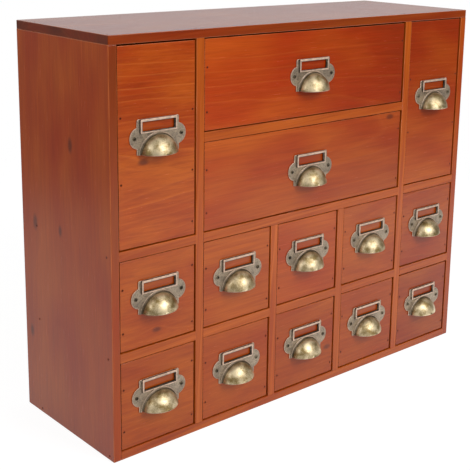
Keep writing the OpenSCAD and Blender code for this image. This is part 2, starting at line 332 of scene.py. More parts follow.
@dataclass(frozen=True)
class AntiqueBrass:
    """Pressed brass with a dark patina, rubbed bright where fingers pull: grey-brown plate, yellow-green cup.

    It reads the pull's attributes: rub, from 0 on the plate to 1 on the crown, edge on its rims, and a
    value of painted shade, which darkens the cup's cove and inside, the card slot and the screws' recesses.
    """

    name: str = "antique_brass_pressed"
    patina: str = "#b2a08a"
    patina_dark: str = "#6c6054"
    bright: str = "#efdcb4"
    olive: str = "#8a7036"
    # Colour of rubbed rims, lip and bead, which in part also paints the highlights along them.
    rim: str = "#fbdcc6"
    # Colour of the painted shade in the cup's cove and inside, the card slot, the window's walls and the
    # screws' recesses.
    cavity: str = "#1c0c06"

    # Each noise: the size of its lumps in millimetres and its detail.
    BLOTCH = (9.0, 3.0)
    CLOUD = (3.2, 2.0)
    SPECK = (1.1, 2.0)
    # Ranges: two values of a noise or of the rubbing, and what comes out at them.
    SPECKS_DARKEN = (0.48, 0.7, 0.0, 0.85)
    BLOTCHES_DARKEN = (0.45, 0.65, 0.0, 0.45)
    SPOTS_GREEN = (0.56, 0.82, 0.08, 0.9)
    RUB_VARIES = (0.3, 0.7, -0.16, 0.12)
    RIM_SHOWS = (0.3, 0.6, 0.45, 1.0)
    RUB_SMOOTHS = (0.0, 1.0, 0.57, 0.475)
    RUB_FLATTENS = (0.0, 1.0, 0.5, 0.15)
    SPECK_IN_SPOTS = 0.35
    RIM_ROUGHNESS = 0.12
    RELIEF_MM = 0.12
    COAT = 0.4
    COAT_ROUGHNESS = 0.24

    def material(self) -> bpy.types.Material:
        """Builds the metal: blotches and specks of patina, thinner where it is rubbed, bright rims that are
        partly rubbed brass and partly painted highlight, and painted shade in the hollows.

        Returns:
            The material.
        """
        material, add = blank_material(self.name)
        place = add("TexCoord").outputs["Object"]
        attributes = ("rub", "edge", "cavity")
        rub, edge, shaded = (add("Attribute", attribute_name=name).outputs["Fac"] for name in attributes)
        noises = (self.BLOTCH, self.CLOUD, self.SPECK)
        blotch, cloud, speck = (add("TexNoise", place, 1 / (mm * METRES), detail) for mm, detail in noises)
        aged = add("MapRange", speck, *self.SPECKS_DARKEN)
        dulled = add("MapRange", blotch, *self.BLOTCHES_DARKEN)
        spots = add("Math", speck, self.SPECK_IN_SPOTS, blotch, operation="MULTIPLY_ADD")
        greened = add("MapRange", spots, *self.SPOTS_GREEN)
        cup = add("Mix", greened, linear(self.bright), linear(self.olive), data_type="RGBA")
        uneven = add("MapRange", cloud, *self.RUB_VARIES)
        rubbed = add("Math", rub, uneven, operation="ADD", use_clamp=True)
        # Rims are painted bright: rubbed brass, and in part the highlights that fall along them.
        bare = add("MapRange", cloud, *self.RIM_SHOWS)
        rimmed = add("Math", bare, edge, operation="MULTIPLY")
        # Last of all, painted shade darkens the hollows, the card slot and the screws' recesses.
        metal: Any = linear(self.patina)
        for share, colour in (
            (aged, linear(self.patina_dark)),
            (dulled, linear(self.patina_dark)),
            (rubbed, cup),
            (rimmed, linear(self.rim)),
            (shaded, linear(self.cavity)),
        ):
            metal = add("Mix", share, metal, colour, data_type="RGBA")
        smooth = add("MapRange", rubbed, *self.RUB_SMOOTHS)
        rough = add("Math", rimmed, self.RIM_ROUGHNESS, smooth, operation="MULTIPLY_ADD")
        depth = add("MapRange", rub, *self.RUB_FLATTENS)
        bump = add("Bump", sockets={"Height": speck, "Strength": depth, "Distance": self.RELIEF_MM * METRES})
        skin = {"Base Color": metal, "Metallic": 1.0, "Roughness": rough, "Normal": bump}
        skin |= {"Coat Weight": self.COAT, "Coat Roughness": self.COAT_ROUGHNESS}
        add("OutputMaterial", add("BsdfPrincipled", sockets=skin))
        return material


@dataclass(frozen=True)
class StainedSteel:
    """Steel of nails and pins, driven before the case was stained: dull red-brown, with spots of rust."""

    name: str = "steel_stained_over"
    stained: str = "#481805"
    rust: str = "#6c2606"
    roughness: float = 0.6

    GRIT_MM = 0.8
    RUST_RANGE = (0.45, 0.65)
    RUST_ROUGHNESS = 0.2
    METAL_SHARE = 0.1
    SPECULAR = 0.1

    def material(self) -> bpy.types.Material:
        """Builds the steel with spots of rust.

        Returns:
            The material.
        """
        material, add = blank_material(self.name)
        place = add("TexCoord").outputs["Object"]
        grit = add("TexNoise", place, 1 / (self.GRIT_MM * METRES), 2.0)
        spots = add("MapRange", grit, *self.RUST_RANGE)
        metal = add("Mix", spots, linear(self.stained), linear(self.rust), data_type="RGBA")
        rough = add("MapRange", spots, 0.0, 1.0, self.roughness, self.roughness + self.RUST_ROUGHNESS)
        skin = {"Base Color": metal, "Metallic": self.METAL_SHARE, "Roughness": rough}
        skin["Specular IOR Level"] = self.SPECULAR
        add("OutputMaterial", add("BsdfPrincipled", sockets=skin))
        return material


def rectangle(low_u: float, high_u: float, low_v: float, high_v: float) -> np.ndarray:
    """Corners of a rectangle, counter-clockwise from its lowest corner."""
    return np.array([(low_u, low_v), (high_u, low_v), (high_u, high_v), (low_u, high_v)], float)


def arc(middle: Sequence[float], radius: float, start: float, end: float, steps: int) -> np.ndarray:
    """Points of an arc from one angle to another, in degrees."""
    turn = np.radians(np.linspace(start, end, steps + 1))
    return np.column_stack([middle[0] + radius * np.cos(turn), middle[1] + radius * np.sin(turn)])


def edge_normals(outline: np.ndarray) -> np.ndarray:
    """Works out the unit normals of an outline's edges. An edge without length takes the one before it.

    Args:
        outline: its points, counter-clockwise.

    Returns:
        For each point the normal of the edge after it, pointing out.
    """
    along = np.roll(outline, -1, axis=0) - outline
    length = np.hypot(along[:, 0], along[:, 1])
    no_length = 1e-9
    real = length > no_length
    outward = np.column_stack([along[:, 1], -along[:, 0]]) / np.where(real, length, 1.0)[:, None]
    return np.where(real[:, None], outward, np.roll(outward, 1, axis=0))


def mitres(outline: np.ndarray) -> np.ndarray:
    """Works out how an outline is taken in: minus (a + b) / (1 + a . b), from two edges' normals a and b.

    Args:
        outline: its points, counter-clockwise.

    Returns:
        For each point the step that takes both its edges in by 1 mm.
    """
    after = edge_normals(outline)
    before = np.roll(after, 1, axis=0)
    share = 1 + np.sum(after * before, axis=1)
    return -(after + before) / share[:, None]


def soften(outline: np.ndarray, radius: float, steps: int, only: Sequence[int] | None = None) -> np.ndarray:
    """Rounds the outward corners of an outline.

    Args:
        outline: its corners, counter-clockwise.
        radius: radius of the arcs.
        steps: edges in each arc.
        only: places of the corners to round, or None for every outward corner.

    Returns:
        The corners with each rounded one replaced by its arc.
    """
    after = edge_normals(outline)
    before = np.roll(after, 1, axis=0)
    turn = before[:, 0] * after[:, 1] - before[:, 1] * after[:, 0]
    inner = outline + radius * mitres(outline)
    runs = []
    least_turn = 0.5
    for i, corner in enumerate(outline):
        if turn[i] < least_turn or (only is not None and i not in only):
            runs.append(corner[None, :])
            continue
        start = math.degrees(math.atan2(before[i, 1], before[i, 0]))
        sweep = math.degrees(math.asin(min(1.0, turn[i])))
        runs.append(arc(inner[i], radius, start, start + sweep, steps))
    return np.concatenate(runs)


def hand_cut(outline: np.ndarray, spacing: float, amount: float, seed: int) -> np.ndarray:
    """Lets an outline waver as sawn and sanded edges do.

    Each edge is parted every few millimetres, and the points move across it by three sine waves of falling
    length and height along the outline, with phases drawn from the seed.

    Args:
        outline: its points, counter-clockwise.
        spacing: distance between the new points.
        amount: how far a point moves at most.
        seed: number that the phases are drawn from.

    Returns:
        The new points.
    """
    parts = []
    for start, end in zip(outline, np.roll(outline, -1, axis=0)):
        count = max(1, round(float(np.hypot(*(end - start))) / spacing))
        parts.append(start + (end - start) * (np.arange(count)[:, None] / count))
    points = np.concatenate(parts)
    gaps = np.roll(points, -1, axis=0) - points
    distance = np.concatenate([[0.0], np.cumsum(np.hypot(gaps[:, 0], gaps[:, 1]))])
    around = 2 * math.pi * distance[:-1] / distance[-1]
    phases = np.random.default_rng(seed).uniform(0, 2 * math.pi, 3)
    waves_round, highest_sum = (2, 5, 11), 1.84
    wave = sum(np.sin(turns * around + p) / (i + 1) for i, (turns, p) in enumerate(zip(waves_round, phases)))
    return points + mitres(points) * (wave / highest_sum * amount)[:, None]


@dataclass
class Surface:
    """One closed surface: points in millimetres, faces, which of them are smooth, and values per point."""

    points: np.ndarray
    faces: list[list[int]]
    smooth: list[bool]
    values: dict[str, np.ndarray] = field(default_factory=dict)

    def placed(self, plane: Plane, offset: Sequence[float] = (0, 0, 0)) -> "Surface":
        """The same surface with u, v and w laid along a plane's directions, and then moved."""
        points = self.points @ np.array(plane.value, float) + np.array(offset, float)
        return Surface(points, self.faces, self.smooth, self.values)


def strips(rows: Sequence[np.ndarray], wrap: bool) -> list[list[int]]:
    """Lays four-sided faces between each row of point numbers and the next.

    Args:
        rows: the rows, all with the same number of points.
        wrap: whether each strip closes into a ring.

    Returns:
        The faces, strip by strip.
    """
    faces = []
    for first, second in pairwise(rows):
        strip = np.column_stack([first, np.roll(first, -1), np.roll(second, -1), second]).tolist()
        faces += strip if wrap else strip[:-1]
    return faces


@dataclass
class Hole:
    """Hole in a block: its outline, and how deep it goes, or None where it goes right through."""

    outline: np.ndarray
    depth: float | None = None


def block(
    outline: np.ndarray,
    low: float,
    high: float,
    ease: float,
    holes: Sequence[Hole] = (),
    stepped: tuple[float, np.ndarray] | None = None,
    steps: int = 3,
) -> Surface:
    """Board or plate: an outline carried up from low to high, with both rims eased by a quarter circle.

    At angle a of the quarter circle the outline is taken in along its mitres by ease times (1 - cos a), and
    the height differs from the face's by ease times (1 - sin a). The value edge is sin 2a, which is 1 in
    mid rim.

    Args:
        outline: points, counter-clockwise seen from above, at the low face.
        low: height of the low face.
        high: height of the high face.
        ease: radius of the rims.
        holes: holes through the block or into its high face.
        stepped: height from which another outline with as many points takes over, and that outline.
        steps: faces across each rim.

    Returns:
        The closed surface.
    """
    turn = np.linspace(math.pi / 2, 0, steps + 1)
    upper = outline if stepped is None else stepped[1]
    rings = [(outline, ease * (1 - math.cos(a)), low + ease * (1 - math.sin(a))) for a in turn]
    if stepped is not None:
        rings += [(outline, 0.0, stepped[0]), (upper, 0.0, stepped[0])]
    rings += [(upper, ease * (1 - math.cos(a)), high - ease * (1 - math.sin(a))) for a in turn[::-1]]
    points = np.concatenate([np.column_stack([o + i * mitres(o), np.full(len(o), h)]) for o, i, h in rings])
    count, bands = len(outline), len(rings) - 1
    rows = np.arange(len(points)).reshape(-1, count)
    faces = strips(rows, True)
    smooth = [i < steps or i >= bands - steps for i in range(bands) for _ in range(count)]
    all_points = [points]
    total = len(points)
    low_rings, high_rings = [rows[0]], [rows[-1]]
    for hole in holes:
        size = len(hole.outline)
        for height in (high, low if hole.depth is None else high - hole.depth):
            all_points.append(np.column_stack([hole.outline, np.full(size, height)]))
        top_row = total + np.arange(size)
        under_row = top_row + size
        total += 2 * size
        faces += strips([top_row, under_row], True)
        smooth += [True] * size
        high_rings.append(top_row)
        if hole.depth is None:
            low_rings.append(under_row)
        else:
            faces.append(under_row.tolist())
            smooth.append(False)
    points = np.concatenate(all_points)
    faces += cap(points, high_rings, 1) + cap(points, low_rings, -1)
    smooth += [False] * (len(faces) - len(smooth))
    rims = np.zeros(len(rings))
    rims[: steps + 1] = np.sin(2 * turn)
    rims[-steps - 1 :] = np.sin(2 * turn[::-1])
    edge = np.zeros(len(points))
    edge[: rows.size] = np.repeat(rims, count)
    return Surface(points, faces, smooth, {"edge": edge})


def cap(points: np.ndarray, rings: Sequence[np.ndarray], facing: int) -> list[list[int]]:
    """Fills a flat ring of points around its holes.

    Args:
        points: the surface's points.
        rings: point numbers of the outer ring and of each hole.
        facing: 1 for a face that looks up, -1 for one that looks down.

    Returns:
        One face, or triangles where there are holes.
    """
    if len(rings) == 1:
        return [rings[0].tolist()[::facing]]
    numbers = np.concatenate(rings)
    flat = [[Vector((*points[i, :2], 0.0)) for i in ring] for ring in rings]
    triangles = np.array(tessellate_polygon(flat))
    corners = points[numbers[triangles], :2]
    sides = corners[:, 1:] - corners[:, :1]
    area = sides[:, 0, 0] * sides[:, 1, 1] - sides[:, 0, 1] * sides[:, 1, 0]
    wrong = area * facing < 0
    triangles[wrong] = triangles[wrong][:, ::-1]
    return numbers[triangles].tolist()


def turned(
    profile: np.ndarray, middle: Sequence[float], steps: int, pinch: np.ndarray | None = None
) -> Surface:
    """Turned piece: a profile of radius and height carried round an axis along w, with both ends closed flat.

    Args:
        profile: radius and height of each point, from the lowest end to the highest.
        middle: where the axis meets the plane, as u and v, and the height that the profile counts from.
        steps: faces round the axis.
        pinch: factor on the radius, one row for each profile point and one column for each step.

    Returns:
        The closed surface.
    """
    turn = np.arange(steps) * 2 * math.pi / steps
    radius = profile[:, :1] * (np.ones((len(profile), steps)) if pinch is None else pinch)
    height = np.repeat(profile[:, 1:], steps, axis=1)
    places = [middle[0] + radius * np.cos(turn), middle[1] + radius * np.sin(turn), middle[2] + height]
    points = np.stack(places, axis=-1).reshape(-1, 3)
    rows = np.arange(len(points)).reshape(len(profile), steps)
    faces = strips(rows, True)
    smooth = [True] * len(faces) + [False, False]
    faces += [rows[0].tolist()[::-1], rows[-1].tolist()]
    return Surface(points, faces, smooth)


@dataclass(frozen=True)
class Cut:
    """How a board lies in its log: its grain, where the pith is from the board's middle, and how it looks.

    The pith comes nearer by the slope for each millimetre along the grain. A knot is its place along and
    across the grain from the board's middle, and its size. The front edge says how much more stain the
    board's narrow front face took at its foot and at its head, where 1 is as much as end grain. The drifts
    say by how much the tone and the paleness of the stain change over 100 mm along and across the grain.
    """

    grain: Grain
    pith: Pair
    tone: float
    shift: float
    knots: tuple[Triple, ...] = ()
    figure: float = 1.0
    slope: float = 0.04
    pale: float = 0.48
    front_edge: Pair = (0.0, 0.0)
    tone_drift: Pair = (0.0, 0.0)
    pale_drift: Pair = (0.0, 0.0)

    DRIFT_OVER_MM = 100

    def values(self, points: np.ndarray) -> dict[str, np.ndarray]:
        """Works out what the timber reads at each point of the board.

        Args:
            points: the board's points.

        Returns:
            Place in the log, board values and knots, each by the attribute's name.
        """
        order = list(self.grain.value)
        middle = (points.min(axis=0) + points.max(axis=0)) / 2
        pith = np.array([self.shift, *self.pith])
        log = points[:, order] - middle[order]
        tone = self.tone + log[:, :2] @ self.tone_drift / self.DRIFT_OVER_MM
        pale = self.pale + log[:, :2] @ self.pale_drift / self.DRIFT_OVER_MM
        log[:, 2] -= self.slope * log[:, 0]
        count = len(points)
        values = {"grain": log - pith, "board": np.column_stack([tone, np.full(count, self.figure), pale])}
        for name, (along, across, size) in zip(Timber.KNOTS, self.knots):
            values[name] = np.tile([along - pith[0], across - pith[1], size], (count, 1))
        return values


@dataclass(frozen=True)
class Finish:
    """Material of a piece, and the record's slot that it takes its finish from."""

    material: bpy.types.Material
    slot: str


@dataclass
class Piece:
    """One object of the scene: closed surfaces in millimetres, the body it rides on and the node it is."""

    name: str
    finish: Finish
    body: str
    node: str
    surfaces: list[Surface] = field(default_factory=list)
    cuts: list[Cut] = field(default_factory=list)

    END_STEEPNESS = 3
    END_START = 1.6

    def add(self, surface: Surface, cut: Cut | None = None) -> None:
        """Adds one closed surface. A piece of wood has a cut for each of its boards.

        Args:
            surface: the surface, in the world's directions.
            cut: how the board lies in its log.
        """
        self.surfaces.append(surface)
        if cut is not None:
            surface.values.update(cut.values(surface.points))
            self.cuts.append(cut)

    def make(self) -> None:
        """Builds the mesh in metres, dresses it, hangs it on its body and hides its node. It stands at the
        origin.
        """
        points = np.concatenate([s.points for s in self.surfaces]) * METRES
        starts = np.cumsum([0] + [len(s.points) for s in self.surfaces])
        faces = [[i + start for i in face] for s, start in zip(self.surfaces, starts) for face in s.faces]
        mesh = bpy.data.meshes.new(self.name)
        mesh.from_pydata(points, [], faces)
        mesh.polygons.foreach_set("use_smooth", [flag for s in self.surfaces for flag in s.smooth])
        self.store_values(mesh)
        if self.cuts:
            self.mark_end_grain(mesh)
        shape = bmesh.new()
        shape.from_mesh(mesh)
        bmesh.ops.remove_doubles(shape, verts=shape.verts, dist=WELD_MM * METRES)
        bmesh.ops.dissolve_degenerate(shape, edges=shape.edges, dist=WELD_MM * METRES / 4)
        shape.to_mesh(mesh)
        shape.free()
        mesh.materials.append(self.finish.material)
        piece = bpy.data.objects.new(self.name, mesh)
        bpy.context.scene.collection.objects.link(piece)
        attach(piece, self.body)
        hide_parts(self.node)
        LOG.info("%s: %d faces, body %s", self.name, len(mesh.polygons), self.body)

    def store_values(self, mesh: bpy.types.Mesh) -> None:
        """Writes the surfaces' values into the mesh as attributes, with 0 where a surface has none.

        Args:
            mesh: the piece's mesh.
        """
        for name in sorted({name for s in self.surfaces for name in s.values}):
            wide = next(s.values[name].ndim for s in self.surfaces if name in s.values) == 2
            shapes = [(len(s.points), 3) if wide else len(s.points) for s in self.surfaces]
            parts = [s.values.get(name, np.zeros(shape)) for s, shape in zip(self.surfaces, shapes)]
            layer = mesh.attributes.new(name, "FLOAT_VECTOR" if wide else "FLOAT", "POINT")
            layer.data.foreach_set("vector" if wide else "value", np.concatenate(parts).ravel())

    def mark_end_grain(self, mesh: bpy.types.Mesh) -> None:
        """Gives each face corner the value end: 1 on faces across the grain and less on the front edge.

        A face counts by the share of its normal that points along the grain, or to the front, times the
        steepness less the start. The front edge's share runs from the foot of the board to its head.

        Args:
            mesh: the piece's mesh.
        """
        axes = [cut.grain.value[0] for s, cut in zip(self.surfaces, self.cuts) for _ in s.faces]
        normals = np.empty(len(axes) * 3)
        sides = np.empty(len(axes), int)
        corners = np.empty(len(mesh.loops), int)
        places = np.empty(len(mesh.vertices) * 3)
        mesh.polygons.foreach_get("normal", normals)
        mesh.polygons.foreach_get("loop_total", sides)
        mesh.loops.foreach_get("vertex_index", corners)
        mesh.vertices.foreach_get("co", places)
        normals = normals.reshape(-1, 3)
        shares = (np.abs(normals[np.arange(len(axes)), axes]), -normals[:, 1])
        raised = (np.repeat(share, sides) * self.END_STEEPNESS - self.END_START for share in shares)
        along, forward = (np.clip(share, 0, 1) for share in raised)
        heights = places[2::3][corners]
        forward *= np.interp(heights, (heights.min(), heights.max()), self.cuts[0].front_edge)
        layer = mesh.attributes.new("end", "FLOAT", "CORNER")
        layer.data.foreach_set("value", np.maximum(along, forward))


@dataclass(frozen=True)
class Nail:
    """Nail driven by hand: a shank with a point under a flat head that lies a little below the wood."""

    shank_d: float = 1.6
    head_d: float = 2.4
    head_h: float = 1.0
    sunk: float = 0.3
    pit_d: float = 2.5
    pit_depth: float = 1.4
    length: float = 20.0
    point_h: float = 3.0
    point_r: float = 0.15
    rim_r: float = 0.15
    dish: float = 0.12

    DISH_SHARE = 0.45
    STEPS = 14

    def surface(self, u: float, v: float, w: float) -> Surface:
        """Turns the nail, with its head towards w.

        Args:
            u: place of its axis.
            v: place of its axis.
            w: height of the wood's face, which the head lies under.

        Returns:
            The nail.
        """
        shank, head, top = self.shank_d / 2, self.head_d / 2, -self.sunk
        point = [(self.point_r, -self.length), (shank, -self.length + self.point_h)]
        neck = [(shank, -self.head_h), (head, -self.head_h)]
        rim = [(head, top - self.rim_r), (head - self.rim_r, top)]
        dish = [(head * self.DISH_SHARE, top - self.dish)]
        return turned(np.array(point + neck + rim + dish), (u, v, w), self.STEPS)

    def pit(self, u: float, v: float) -> Hole:
        """Hole that the head lies in."""
        return Hole(arc((u, v), self.pit_d / 2, 0, 360, self.STEPS)[:-1], self.pit_depth)


@dataclass(frozen=True)
class CupPull:
    """Pull of a drawer: a screwed plate with ears, and on it a label frame over a cup for the fingers.

    u and v count from the middle of the two screws, and w outwards from the drawer's front.
    """

    plate_w: float = 50.0
    plate_rise: float = 18.5
    plate_drop: float = 16.5
    plate_t: float = 1.2
    plate_ease: float = 0.45
    plate_corner_r: float = 2.0
    plate_foot_r: float = 0.8
    screw_spacing: float = 56.0
    ear_r: float = 10.6
    ear_margin: float = 5.5
    window_w: float = 39.4
    window_h: float = 9.6
    window_corner_r: float = 0.4
    frame_end: float = 2.0
    frame_top: float = 2.7
    frame_bottom: float = 1.7
    frame_reach: float = 3.2
    frame_corner_r: float = 0.8
    card_gap: float = 1.0
    card_lap: float = 1.0
    cup_w: float = 45.0
    cup_h: float = 20.0
    cup_reach: float = 18.0
    shoulder_r: float = 10.0
    cove_r: float = 1.6
    cup_wall: float = 1.2
    bead_r: float = 0.9
    screw_d: float = 2.2
    screw_head_d: float = 4.2
    screw_head_h: float = 1.3
    screw_l: float = 8.0
    seat: float = 0.03

    # Power of the sine and cosine in the section of the label frame's bars: 1 is an oval, 0 a rectangle.
    BAR_ROUNDNESS = 0.6
    BAR_STEPS = 16
    # The bars' looks: the rub and painted highlight on their middle and what their two rims add, the painted
    # shade of their inner face, which starts at a strength, falls across the bar, has a limit and stops at the
    # crown, and the fall of the painted shade up the bar.
    BAR_RUB_AND_HIGHLIGHT = (0.6, 0.4)
    BAR_INNER_SHADE = (1.9, 9, 0.9)
    BAR_CROWN = 0.97
    BAR_SLOT_SHADE = 2.2
    FRAME_UNDER_RIM = 0.1
    # Ribs under the label frame: how far they stay inside its ends, its top and its foot, how deep they go
    # into the plate and into the frame, and the ease of their rims.
    RIB_INSIDE = (0.15, 0.12, 0.05)
    RIB_INTO = (0.2, 0.25)
    RIB_EASE = 0.08
    # Painted shade of the cup's cove and of its inside, rub of its lip and of its cove at least, and painted
    # highlight on the bead's crest.
    COVE_SHADE, INSIDE_SHADE = 0.6, 0.8
    LIP_RUB, LEAST_RUB, BEAD_RUB = 0.9, 0.2, 0.6
    # Half the width of the cup's crown where it meets the mouth.
    CUP_TIP = 0.5
    # Screw: radius and length of its point, height of its head's rim and of its seat, radii of the recess and
    # of the flat round it, the dome's first and last angle in degrees and its points, and radius and depth of
    # the recess's wall.
    SCREW_POINT = (0.2, 2)
    SCREW_RIM_H = 0.12
    SCREW_LIFT = 0.05
    RECESS_R, FLAT_R = 1.2, 1.35
    DOME_ARC = (12, 62, 5)
    RECESS_WALL = ((1.0, 0), (0.9, 0.55), (0.35, 0.8))
    FOOT_STEPS, ARCH_STEPS, EAR_STEPS, CORNER_STEPS = 3, 36, 26, 6
    FRAME_CORNER_STEPS = 4
    COVE_STEPS, SHOULDER_STEPS, CROWN_STEPS = 7, 14, 9
    CUP_COLUMNS = 44
    LIP_STEPS = 5
    BEAD_ROWS, BEAD_COLUMNS = 60, 10
    SCREW_STEPS = 32

    @property
    def window_high(self) -> float:
        """Upper edge of the label window."""
        return self.plate_rise - self.frame_top

    @property
    def window_low(self) -> float:
        """Lower edge of the label window."""
        return self.window_high - self.window_h

    @property
    def frame_low(self) -> float:
        """Lower edge of the label frame."""
        return self.window_low - self.frame_bottom

    @property
    def foot_r(self) -> float:
        """Radius of the circle through the ends of the cup's mouth and its crown."""
        return ((self.cup_w / 2) ** 2 + self.cup_h**2) / (2 * self.cup_h)

    @property
    def bowl_r(self) -> float:
        """Radius of the cup's wall, which stands in from the foot by the cove."""
        return self.foot_r - self.cove_r

    @property
    def shoulder_w(self) -> float:
        """Height at which the cove ends and the shoulder begins."""
        return self.plate_t + self.cove_r

    @property
    def axis_v(self) -> float:
        """Height of the cup's axis, which lies below its mouth."""
        return self.cup_h - self.plate_drop - self.foot_r

    @property
    def mouth_v(self) -> float:
        """Height at which the cup's two skins end and its rounded lip begins."""
        return -self.plate_drop + self.cup_wall / 2

    def window(self, wider: float = 0.0) -> np.ndarray:
        """Outline of the label window, or of one that is wider by so much on every side."""
        half_w = self.window_w / 2 + wider
        return rectangle(-half_w, half_w, self.window_low - wider, self.window_high + wider)

    def plate_outline(self) -> np.ndarray:
        """Draws the plate with an arched cut under the cup, a round ear at each end and round upper corners.

        Returns:
            The outline, counter-clockwise.
        """
        half, foot_r = self.plate_w / 2, self.plate_foot_r
        ear_u = self.screw_spacing / 2 + self.ear_margin - self.ear_r
        open_angle = math.degrees(math.acos((half - ear_u) / self.ear_r))
        arch_r = self.bowl_r - self.cup_wall / 2
        arch_angle = math.degrees(math.asin((-self.plate_drop - self.axis_v) / arch_r))
        corner_v = self.plate_rise - self.plate_corner_r
        corner_u = half - self.plate_corner_r
        runs = [
            arc((-half + foot_r, -self.plate_drop + foot_r), foot_r, 180, 270, self.FOOT_STEPS),
            arc((0, self.axis_v), arch_r, 180 - arch_angle, arch_angle, self.ARCH_STEPS),
            arc((half - foot_r, -self.plate_drop + foot_r), foot_r, 270, 360, self.FOOT_STEPS),
            arc((ear_u, 0), self.ear_r, -open_angle, open_angle, self.EAR_STEPS),
            arc((corner_u, corner_v), self.plate_corner_r, 0, 90, self.CORNER_STEPS),
            arc((-corner_u, corner_v), self.plate_corner_r, 90, 180, self.CORNER_STEPS),
            arc((-ear_u, 0), self.ear_r, 180 - open_angle, 180 + open_angle, self.EAR_STEPS),
        ]
        return np.concatenate(runs)

    def plate(self) -> Surface:
        """Plate with its window cut through."""
        return block(self.plate_outline(), self.seat, self.plate_t, self.plate_ease, [Hole(self.window())])

    def label_frame(self) -> Surface:
        """Makes the frame that holds a card: a rounded bar carried round the window.

        Each point lies between the frame's inner and outer outline by a share (1 + c) / 2 and at a height
        (1 + s) / 2 of the bar, where c and s are a cosine and a sine raised to the roundness. Its top and
        ends are painted bright, partly as rubbed brass and partly as painted highlights, and its inner face
        and the part by the card's slot are darkened with painted shade.

        Returns:
            The closed ring.
        """
        half_w = self.window_w / 2 + self.frame_end
        outline = rectangle(-half_w, half_w, self.frame_low, self.plate_rise - self.FRAME_UNDER_RIM)
        outer = soften(outline, self.frame_corner_r, self.FRAME_CORNER_STEPS)
        inner = soften(self.window(), self.window_corner_r, self.FRAME_CORNER_STEPS)
        turn = np.linspace(0, 2 * math.pi, self.BAR_STEPS, endpoint=False)
        waves = (np.cos(turn), np.sin(turn))
        wide, tall = ((1 + np.sign(wave) * np.abs(wave) ** self.BAR_ROUNDNESS) / 2 for wave in waves)
        low_w = self.plate_t + self.card_gap
        flat = inner[None] + (outer - inner)[None] * wide[:, None, None]
        height = low_w + (self.frame_reach - low_w) * tall
        heights = np.repeat(height[:, None, None], len(inner), axis=1)
        points = np.concatenate([flat, heights], axis=2).reshape(-1, 3)
        rows = np.arange(len(points)).reshape(len(turn), len(inner))
        faces = strips([rows[-1], *rows], True)
        middle_rub_and_highlight, rim_rub_and_highlight = self.BAR_RUB_AND_HIGHLIGHT
        start, fall, limit = self.BAR_INNER_SHADE
        # Rub and painted highlight on the bars' top and rims; painted shade on the inner face and by the slot.
        edge = tall * (middle_rub_and_highlight + rim_rub_and_highlight * (2 * wide - 1) ** 2)
        inward = np.clip(start - fall * wide, 0, limit) * (tall < self.BAR_CROWN)
        cavity = np.maximum(inward, np.clip(1 - self.BAR_SLOT_SHADE * tall, 0, 1))
        values = {"edge": np.repeat(edge, len(inner)), "cavity": np.repeat(cavity, len(inner))}
        return Surface(points, faces, [True] * len(faces), values)

    def window_shade_sheet(self) -> Surface:
        """Makes a sheet of painted shade on the walls of the plate's window: a thin dark ring let into the
        plate.

        Returns:
            The closed ring.
        """
        sheet_t, hidden, ease = 0.08, 0.05, 0.01
        low, high = self.seat + ease, self.plate_t - 2 * ease
        ring = block(self.window(hidden), low, high, ease, [Hole(self.window(-sheet_t))], steps=1)
        ring.values = {"cavity": np.ones(len(ring.points))}
        return ring

    def frame_feet(self) -> list[Surface]:
        """Makes the two ribs that carry the label frame on the plate, above and below the card's slot.

        Returns:
            The upper and the lower rib.
        """
        end, top, foot = self.RIB_INSIDE
        into_plate, into_frame = self.RIB_INTO
        half_w = self.window_w / 2 + self.frame_end - end
        low_w, high_w = self.plate_t - into_plate, self.plate_t + self.card_gap + into_frame
        upper = (self.window_high + self.card_lap, self.plate_rise - top)
        lower = (self.frame_low + foot, self.window_low - self.card_lap)
        outlines = (rectangle(-half_w, half_w, *heights) for heights in (upper, lower))
        feet = [block(outline, low_w, high_w, self.RIB_EASE, steps=1) for outline in outlines]
        # The ribs lie in the shadow under the frame, so they are painted all in shade.
        for rib in feet:
            rib.values = {"cavity": np.ones(len(rib.points))}
        return feet

    def cup_profile(self, inset: float) -> np.ndarray:
        """Half section of the cup: a cove outside or a straight wall inside, then the shoulder and the crown.

        The crown is an arc about a point on the axis that runs smoothly into the shoulder's. The section
        ends where its radius comes down to the height of the mouth above the axis.

        Args:
            inset: distance that the section is taken in by, 0 outside and the wall inside.

        Returns:
            Radius and height of each point, from the foot to the lip, as many inside as outside.
        """
        shoulder_u = self.bowl_r - self.shoulder_r
        room = self.cup_reach - self.shoulder_r
        crown_low = (room**2 - shoulder_u**2 - self.shoulder_w**2) / (2 * (room - self.shoulder_w))
        crown_r = self.cup_reach - crown_low
        meet = math.degrees(math.atan2(self.shoulder_w - crown_low, shoulder_u))
        end_r = math.hypot(self.mouth_v - self.axis_v, self.CUP_TIP)
        last = math.degrees(math.acos(end_r / (crown_r - inset)))
        if inset:
            rises = np.linspace(self.seat, self.shoulder_w, self.COVE_STEPS + 2)
            foot = np.column_stack([np.full(len(rises), self.bowl_r - inset), rises])
        else:
            cove = arc((self.foot_r, self.shoulder_w), self.cove_r, 270, 180, self.COVE_STEPS)
            foot = np.concatenate([[(self.foot_r, self.seat)], cove])
        shoulder_at = (shoulder_u, self.shoulder_w)
        shoulder = arc(shoulder_at, self.shoulder_r - inset, 0, meet, self.SHOULDER_STEPS)[1:-1]
        crown = arc((0, crown_low), crown_r - inset, meet, last, self.CROWN_STEPS)
        return np.concatenate([foot, shoulder, crown])

